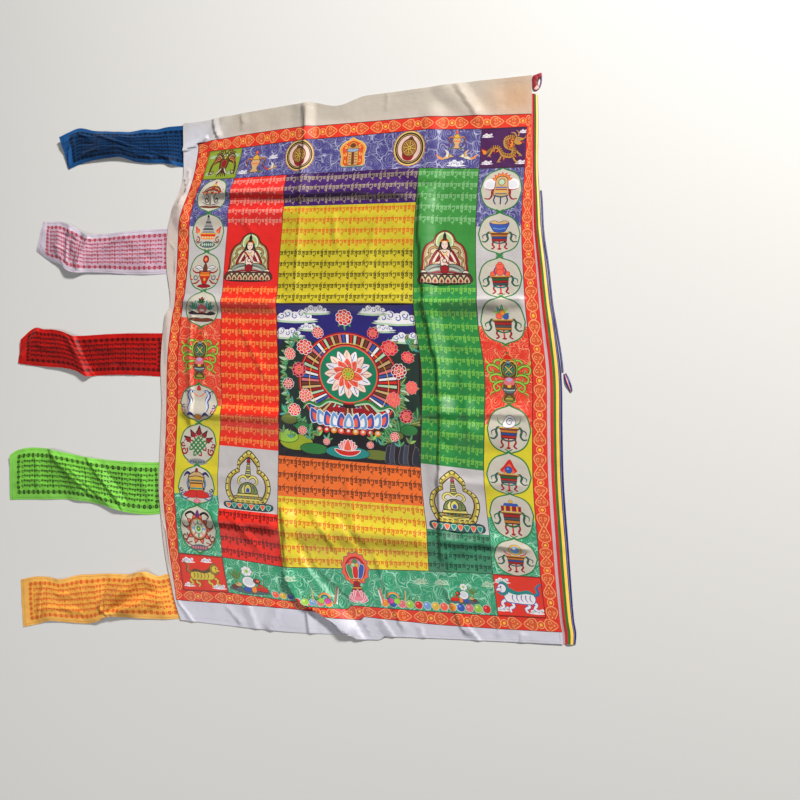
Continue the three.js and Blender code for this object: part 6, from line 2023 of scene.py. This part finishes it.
def make_loop():
    """A narrow tape bent round into a loop: red on its inner strand, pale outside, with painted shade darkening the
    inner strand at the eye's edge and a painted highlight along the outer strand's crown.
    """
    rows = np.array(LOOP, float)
    n = len(rows) * 4
    k = np.arange(n) / 4
    w = np.zeros((n, len(rows)))
    for r in range(n):
        i, f = int(k[r]), k[r] % 1
        for d, c in zip((-1, 0, 1, 2), (-f + 2 * f * f - f**3, 2 - 5 * f * f + 3 * f**3, f + 4 * f * f - 3 * f**3, f**3 - f * f)):
            w[r, (i + d) % len(rows)] += 0.5 * c
    ox, oy, ex, ey = (w @ rows).T
    section = [(0.0, 0.35), (0.03, 0.12), (0.5, 0.06), (0.97, 0.12), (1.0, 0.5), (0.96, 1.2), (0.8, 1.75), (0.5, 2.1), (0.2, 1.75), (0.04, 1.2)]
    places, prints = [], []
    for m, (f, z) in enumerate(section):
        wave = 1 + 0.12 * np.sin(np.arange(n) * 0.9 + m)
        places.append(np.column_stack([ex + (ox - ex) * f, ey + (oy - ey) * f, z * (wave if z > 0.3 else wave * 0 + 1)]))
    count = len(section)
    verts = np.vstack(places)
    verts[:, 0] -= MIDDLE[0]
    verts[:, 1] -= MIDDLE[1]
    faces, colour = [], []
    for m in range(count):
        q = (m + 1) % count
        for r in range(n):
            b = (r + 1) % n
            faces.append([m * n + r, q * n + r, q * n + b, m * n + b])
            f = (section[m][0] + section[q][0]) / 2
            if 3.4 < k[r] < 7.2:                 # the outer strand
                # the pale band along the outer strand's crown is a painted highlight
                colour.append(rgb(168, 120, 160) if 0.3 < f < 0.6 else rgb(72, 22, 84))
            elif 7.2 <= k[r] < 9.6:              # the ends, where they meet
                colour.append(rgb(222, 190, 180) if 0.25 < f < 0.85 else rgb(150, 60, 60))
            else:
                # the inner strand's darker edge at the eye is painted shade
                colour.append(rgb(74, 10, 34) if f < 0.2 else rgb(204, 40, 50) if 0.4 < f < 0.62 else rgb(150, 14, 34))
    p, q, r = verts[faces[0][0]], verts[faces[0][1]], verts[faces[0][2]]
    corner = np.array(faces).ravel()
    colour = np.repeat(np.array(colour), 4, axis=0)
    pattern = verts[corner][:, :2]
    bake = np.column_stack([((corner % n) / n) * 0.9 + 0.05, (corner // n) / count * 0.9 + 0.05])
    piece = write_mesh("loop_tape", verts / 1000, None, faces, colour, np.column_stack([colour, np.zeros(len(colour))]), pattern, bake)
    tidy(piece)
    return piece


def tidy(piece):
    """Turns all the faces of a closed mesh outwards."""
    bm = bmesh.new()
    bm.from_mesh(piece.data)
    bmesh.ops.recalc_face_normals(bm, faces=bm.faces)
    bm.to_mesh(piece.data)
    bm.free()


# ---- the sewing ------------------------------------------------------------------
SEAMS = [
    # across0 down0 across1 down1 pitch long
    (9, 4, 9, 1076, 5.2, 3.2), (24, 4, 24, 1076, 5.2, 3.2), (6, 8, 812, 8, 5.2, 3.2), (6, 1072, 812, 1072, 5.2, 3.2),
    (811, 30, 811, 1076, 5.2, 3.2),
]
THREAD, RED_THREAD = rgb(214, 206, 202), rgb(186, 40, 34)


def make_stitches():
    verts, faces = [], []
    for s0, t0, s1, t1, pitch, long in SEAMS:
        run = math.hypot(s1 - s0, t1 - t0)
        n = int(run / pitch)
        f = (np.arange(n) + 0.5) / n
        ds, dt = (s1 - s0) / run, (t1 - t0) / run
        ends, last_seam = [], len(faces) // 6
        for k in (-0.5, 0.5):
            p, normal = settle(lie, s0 + (s1 - s0) * f + ds * long * k, t0 + (t1 - t0) * f + dt * long * k, CLEAR + THICK, (WIDE, LONG))
            ends.append((p, normal))
        side = np.cross(ends[1][0] - ends[0][0], ends[0][1])
        side /= np.linalg.norm(side, axis=1)[:, None]
        for m in range(n):
            at = len(verts)
            for (p, normal), tip in zip(ends, (0.15, 0.15)):
                for a, b in ((-0.24, -0.1), (0.24, -0.1), (0.16, 0.22), (-0.16, 0.22)):
                    verts.append(p[m] + (side[m] * a + normal[m] * b) / 1000)
            faces += [[at + v for v in f] for f in ((0, 3, 2, 1), (4, 5, 6, 7), (0, 1, 5, 4), (1, 2, 6, 5), (2, 3, 7, 6), (3, 0, 4, 7))]
    corner = np.array(faces).ravel()
    colour = np.where(np.arange(len(corner))[:, None] < last_seam * 24, THREAD, RED_THREAD)
    v = np.array(verts)
    piece = write_mesh("seam_stitches", v, None, faces, colour, np.column_stack([colour, np.zeros(len(corner))]), v[corner][:, :2],
                       np.column_stack([v[corner][:, 0] / 0.9 * 0.9 + 0.5, v[corner][:, 1] / 1.1 * 0.9 + 0.5]))
    tidy(piece)
    return piece


# ---- materials -------------------------------------------------------------------
class Value:
    """A number in a shader's node tree that can be reckoned with."""

    def __init__(self, tree, socket):
        self.tree, self.socket = tree, socket

    def op(self, how, *others, clamp=False):
        node = self.tree.nodes.new("ShaderNodeMath")
        node.operation, node.use_clamp = how, clamp
        for slot, value in zip(node.inputs, (self, *others)):
            if isinstance(value, Value):
                self.tree.links.new(value.socket, slot)
            else:
                slot.default_value = value
        return Value(self.tree, node.outputs[0])

    def __add__(self, o): return self.op("ADD", o)
    def __sub__(self, o): return self.op("SUBTRACT", o)
    def __mul__(self, o): return self.op("MULTIPLY", o)
    def __truediv__(self, o): return self.op("DIVIDE", o)
    def __abs__(self): return self.op("ABSOLUTE")
    def floor(self): return self.op("FLOOR")
    def fract(self): return self.op("FRACT")
    def mod(self, n): return self.op("MODULO", n)
    def least(self, o): return self.op("MINIMUM", o)
    def most(self, o): return self.op("MAXIMUM", o)
    def below(self, o): return self.op("LESS_THAN", o)
    def above(self, o): return self.op("GREATER_THAN", o)
    def minus_from(self, n): return self.op("MULTIPLY", -1.0).op("ADD", n)
    def length(self, o): return (self * self + o * o).op("SQRT")
    def soft(self, width):
        """1 where this is under 0, and down to 0 over width."""
        return (self / width).minus_from(0.5).op("ADD", 0.0, clamp=True)


class Cloth:
    def __init__(self, name):
        self.material = bpy.data.materials.new(name)
        self.material.use_nodes = True
        self.tree = self.material.node_tree
        self.shader = self.tree.nodes["Principled BSDF"]

    def node(self, kind, **settings):
        made = self.tree.nodes.new(kind)
        for key, value in settings.items():
            if key in made.inputs:
                if hasattr(value, "is_linked") or isinstance(value, Value):
                    self.link(value, made.inputs[key])
                else:
                    made.inputs[key].default_value = value
            else:
                setattr(made, key, value)
        return made

    def link(self, source, target):
        self.tree.links.new(source.socket if isinstance(source, Value) else source, target)

    def value(self, socket):
        return Value(self.tree, socket)

    def colour(self, layer):
        return self.node("ShaderNodeVertexColor", layer_name=layer)

    def mix(self, factor, a, b, how="MIX"):
        made = self.tree.nodes.new("ShaderNodeMix")
        made.data_type, made.blend_type = "RGBA", how
        for slot, v in ((made.inputs[0], factor), (made.inputs[6], a), (made.inputs[7], b)):
            if isinstance(v, (int, float)):
                slot.default_value = v
            elif isinstance(v, tuple):
                slot.default_value = (*v, 1)
            else:
                self.link(v, slot)
        return made.outputs[2]


def marks(cloth, u, v, bold=0.0):
    """Rows of small marks in the manner of block-printed text: none of them is a letter.
    Seven marks repeat along a row."""
    k = u.floor().mod(7.0)
    x, y = u.fract() * 8.2, v.fract() * 23.2 - 0.4

    def among(*numbers):
        found = (abs(k - float(numbers[0])) - 0.4)
        for n in numbers[1:]:
            found = found.least(abs(k - float(n)) - 0.4)
        return found * 6.0

    def box(cx, cy, hx, hy):
        return (abs(x - cx) - hx).most(abs(y - cy) - hy)

    def slanted(cx, cy, lean, hx, hy):
        return (abs((x - cx) + (y - cy) * lean) - hx).most(abs(y - cy) - hy)

    head = box(3.7, 6.2, 2.8, 0.62)
    serif = slanted(1.2, 7.4, -0.5, 0.6, 1.5)
    leg = slanted(5.7, 9.8, 0.12, 0.66, 3.6).most(among(0, 1, 2, 5))
    long_leg = slanted(5.2, 12.2, 0.08, 0.66, 6.2).most(among(4, 6))
    left = slanted(2.9, 10.2, 0.62, 0.62, 2.9).most(among(0, 1, 5, 6))
    block = (abs(box(3.4, 9.9, 1.7, 1.5)) - 0.55).most(among(3, 4))
    low = box(3.2, 14.6, 2.0, 0.58).most(among(2, 4))
    tail = slanted(2.6, 16.6, -0.9, 0.62, 2.2).most(among(2, 4, 6))
    rise = slanted(4.2, 3.2, 0.9, 0.62, 1.9).most(among(1, 4, 5))
    dots = box(7.5, 7.4, 0.5, 0.6).least(box(7.5, 11.2, 0.5, 0.6)).most(among(6))
    cross = box(3.6, 12.9, 1.9, 0.55).most(among(0, 5))
    ink = head.least(serif).least(leg).least(long_leg).least(left).least(block).least(low).least(tail).least(rise).least(dots).least(cross)
    return (ink - bold).soft(0.6)


def brocade(cloth, u, v):
    """Curling fans and leaves of thin lines, as woven in damask."""
    place = cloth.node("ShaderNodeCombineXYZ", X=u, Y=v)
    sway = cloth.node("ShaderNodeTexNoise", Scale=1.3, Detail=1.0, Vector=place.outputs[0])
    push = cloth.node("ShaderNodeVectorMath", operation="MULTIPLY_ADD")
    cloth.link(sway.outputs["Color"], push.inputs[0])
    push.inputs[1].default_value = (0.9, 0.9, 0.0)
    cloth.link(place.outputs[0], push.inputs[2])
    fans = cloth.node("ShaderNodeTexVoronoi", voronoi_dimensions="2D", Scale=1.0, Vector=push.outputs[0])
    far = cloth.value(fans.outputs["Distance"])
    lines = (abs((far * 5.2).fract() - 0.5) - 0.13).soft(0.14)
    edges = cloth.node("ShaderNodeTexVoronoi", voronoi_dimensions="2D", feature="DISTANCE_TO_EDGE", Scale=1.0, Vector=push.outputs[0])
    rims = (cloth.value(edges.outputs["Distance"]) - 0.035).soft(0.03)
    patch = (cloth.value(sway.outputs["Fac"]) - 0.30).op("MULTIPLY", 3.2, clamp=True)
    return (lines * 0.62).most(rims * 0.9) * patch


def beads(cloth, u, v):
    x, y = (u.fract() - 0.5) * 11.5, (v.fract() - 0.5) * 7.0
    big = ((x * x + y * y) / 12.0 - 1.0) * 1.6
    hole = (abs(x) + abs(y) * 1.6).minus_from(0.9)
    bars = (abs(abs(x) - 4.95) - 0.42).most(abs(y) - 2.1)
    small = bars.least((abs(x).minus_from(4.6)).most(abs(y) - 0.45))
    return big.most(hole).least(small).soft(0.5)


def cloth_material(name, pattern=True, bold=0.0, rough=0.42, sheen=0.2, weave=900.0, wrinkle=1.0, tint=(1.0, 1.0, 1.0), shine=0.5):
    c = Cloth(name)
    paint, ink = c.colour("Print"), c.colour("Ink")
    where = c.node("ShaderNodeTexCoord").outputs["Object"]
    colour = paint.outputs["Color"]
    if pattern:
        uv = c.node("ShaderNodeUVMap", uv_map="Pattern")
        parts = c.node("ShaderNodeSeparateXYZ", Vector=uv.outputs[0])
        u, v = c.value(parts.outputs[0]), c.value(parts.outputs[1])
        kind = c.value(ink.outputs["Alpha"]) * 4.0
        is_kind = lambda n: (abs(kind - float(n)) - 0.3).below(0.0)
        worn = c.node("ShaderNodeTexNoise", Scale=260.0, Detail=2.0, Vector=where)
        fade = c.value(worn.outputs["Fac"]) * 0.7 + 0.55
        amount = (marks(c, u, v, bold) * is_kind(TEXT) + brocade(c, u, v) * is_kind(BROCADE) + beads(c, u, v) * is_kind(BEADS))
        amount = (amount * fade).op("ADD", 0.0, clamp=True)
        colour = c.mix(amount, colour, ink.outputs["Color"])
    # the dye is uneven, and the folds are a little rubbed
    cloudy = c.node("ShaderNodeTexNoise", Scale=9.0, Detail=3.0, Vector=where)
    shade = c.value(cloudy.outputs["Fac"]) * 0.30 + 0.85
    shade_colour = c.node("ShaderNodeCombineColor")
    for k, t in enumerate(tint):
        c.link(shade * t, shade_colour.inputs[k])
    colour = c.mix(1.0, colour, shade_colour.outputs[0], "MULTIPLY")
    # threads: fine warp lines, crossed by weft
    warp = c.node("ShaderNodeTexWave", wave_type="BANDS", bands_direction="X", Scale=weave, Distortion=0.6, Detail=1.0, Vector=where)
    weft = c.node("ShaderNodeTexWave", wave_type="BANDS", bands_direction="Y", Scale=weave * 0.8, Distortion=0.6, Detail=1.0, Vector=where)
    threads = c.value(warp.outputs["Fac"]) * 0.6 + c.value(weft.outputs["Fac"]) * 0.4
    slub = c.node("ShaderNodeTexNoise", Scale=420.0, Detail=2.0, Vector=where)
    colour = c.mix(0.10, colour, (threads * 0.8 + 0.3).socket, "MULTIPLY")
    c.link(colour, c.shader.inputs["Base Color"])
    # small creases that the cloth keeps
    crumple = c.node("ShaderNodeTexNoise", noise_type="RIDGED_MULTIFRACTAL", Scale=13.0, Detail=3.0, Roughness=0.45, Vector=where)
    ripple = c.node("ShaderNodeTexNoise", Scale=46.0, Detail=2.0, Vector=where)
    relief = c.value(crumple.outputs["Fac"]) * (0.55 * wrinkle) + c.value(ripple.outputs["Fac"]) * (0.5 * wrinkle)
    first = c.node("ShaderNodeBump", Strength=0.5, Distance=0.0016, Height=relief)
    second = c.node("ShaderNodeBump", Strength=0.25, Distance=0.00012, Height=(threads + c.value(slub.outputs["Fac"]) * 0.5), Normal=first.outputs[0])
    c.link(second.outputs[0], c.shader.inputs["Normal"])
    roughness = c.value(cloudy.outputs["Fac"]) * 0.22 + (rough - 0.11)
    c.link(roughness, c.shader.inputs["Roughness"])
    c.shader.inputs["Specular IOR Level"].default_value = shine
    c.shader.inputs["Sheen Weight"].default_value = sheen
    c.shader.inputs["Sheen Roughness"].default_value = 0.45
    return c.material


def finish_piece(piece, node, material):
    piece.data.materials.append(material)
    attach(piece, "root")
    if node:
        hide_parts(node)
    return piece


# ---- all of it -------------------------------------------------------------------
panel = finish_piece(make_panel(), "flag_panel", cloth_material("printed satin", bold=0.29, rough=0.46, shine=0.42, sheen=0.08, wrinkle=2.4))
stitches = finish_piece(make_stitches(), None, cloth_material("sewing thread", pattern=False, rough=0.6, weave=2400.0, wrinkle=0.0))

streamers = {}
for name in STREAMERS:
    piece, long = make_streamer(name)
    material = cloth_material(f"{name} satin", bold=0.66, rough=0.52, wrinkle=2.2, sheen=0.05, shine=0.2)
    streamers[name] = (finish_piece(piece, f"streamer_{name}", material), long)

ribbon = finish_piece(make_ribbon(), "edge_ribbon", cloth_material("striped tape", pattern=False, rough=0.55, weave=1400.0, wrinkle=0.5))
loop = finish_piece(make_loop(), "corner_loop", cloth_material("loop tape", pattern=False, rough=0.55, weave=1400.0, wrinkle=0.5))
tie, tie_line = make_tie_upper()
finish_piece(tie, "tie_upper", cloth_material("upper tie", pattern=False, rough=0.5, weave=1600.0, wrinkle=0.4))
end = finish_piece(make_tie_lower(), "tie_lower", cloth_material("lower tie", pattern=False, rough=0.5, weave=1600.0, wrinkle=0.4))

# ---- the floor, the light and the camera -----------------------------------------
floor_mesh = bpy.data.meshes.new("floor")
floor_mesh.from_pydata([(-6, -6, 0), (6, -6, 0), (6, 6, 0), (-6, 6, 0)], [], [(0, 1, 2, 3)])
floor = bpy.data.objects.new("floor", floor_mesh)
bpy.context.scene.collection.objects.link(floor)
ground = bpy.data.materials.new("floor")
ground.use_nodes = True
ground.node_tree.nodes["Principled BSDF"].inputs["Base Color"].default_value = (0.72, 0.72, 0.71, 1)
ground.node_tree.nodes["Principled BSDF"].inputs["Roughness"].default_value = 0.85
floor_mesh.materials.append(ground)


def lamp(name, kind, at, towards, energy, colour, size):
    light = bpy.data.lights.new(name, kind)
    light.energy, light.color = energy, colour
    if kind == "AREA":
        light.shape, light.size = "DISK", size
    else:
        light.angle = size
    made = bpy.data.objects.new(name, light)
    made.location = at
    made.rotation_euler = (Vector(towards) - Vector(at)).to_track_quat("-Z", "Y").to_euler()
    bpy.context.scene.collection.objects.link(made)


lamp("key", "AREA", (2.9, 2.9, 2.30), (0.0, 0.0, 0), 330, (1.0, 0.965, 0.92), 0.75)
lamp("fill", "AREA", (-0.8, -1.0, 1.9), (-0.2, -0.3, 0), 13, (1.0, 0.98, 0.96), 1.2)
world = bpy.data.worlds.new("studio")
bpy.context.scene.world = world
world.use_nodes = True
world.node_tree.nodes["Background"].inputs["Color"].default_value = (0.92, 0.95, 1.0, 1)
world.node_tree.nodes["Background"].inputs["Strength"].default_value = 0.10

camera_data = bpy.data.cameras.new("camera")
camera_data.lens, camera_data.sensor_width = 34.2, 36
camera_data.clip_start, camera_data.clip_end = 0.05, 30
camera = bpy.data.objects.new("camera", camera_data)
right, up, back = (0.960126, -0.010931, -0.279352), (0.042197, 0.993454, 0.106157), (0.276363, -0.113712, 0.954302)
camera.matrix_world = Matrix([
    (right[0], up[0], back[0], 0.69081), (right[1], up[1], back[1], -0.26534), (right[2], up[2], back[2], 1.38444), (0, 0, 0, 1),
])
bpy.context.scene.collection.objects.link(camera)
bpy.context.scene.camera = camera
bpy.context.scene.view_settings.view_transform = "Standard"

# ---- the streamers' and the upper tie's lengths, worked out and not used ---------
for name, (piece, long) in streamers.items():
    round(long / 1000, 3)
tie_long = sum(math.dist(a, b) for a, b in zip(tie_line, tie_line[1:]))
tuple(tie_line[0])
[tuple(p) for p in tie_line]

bpy.context.view_layer.update()
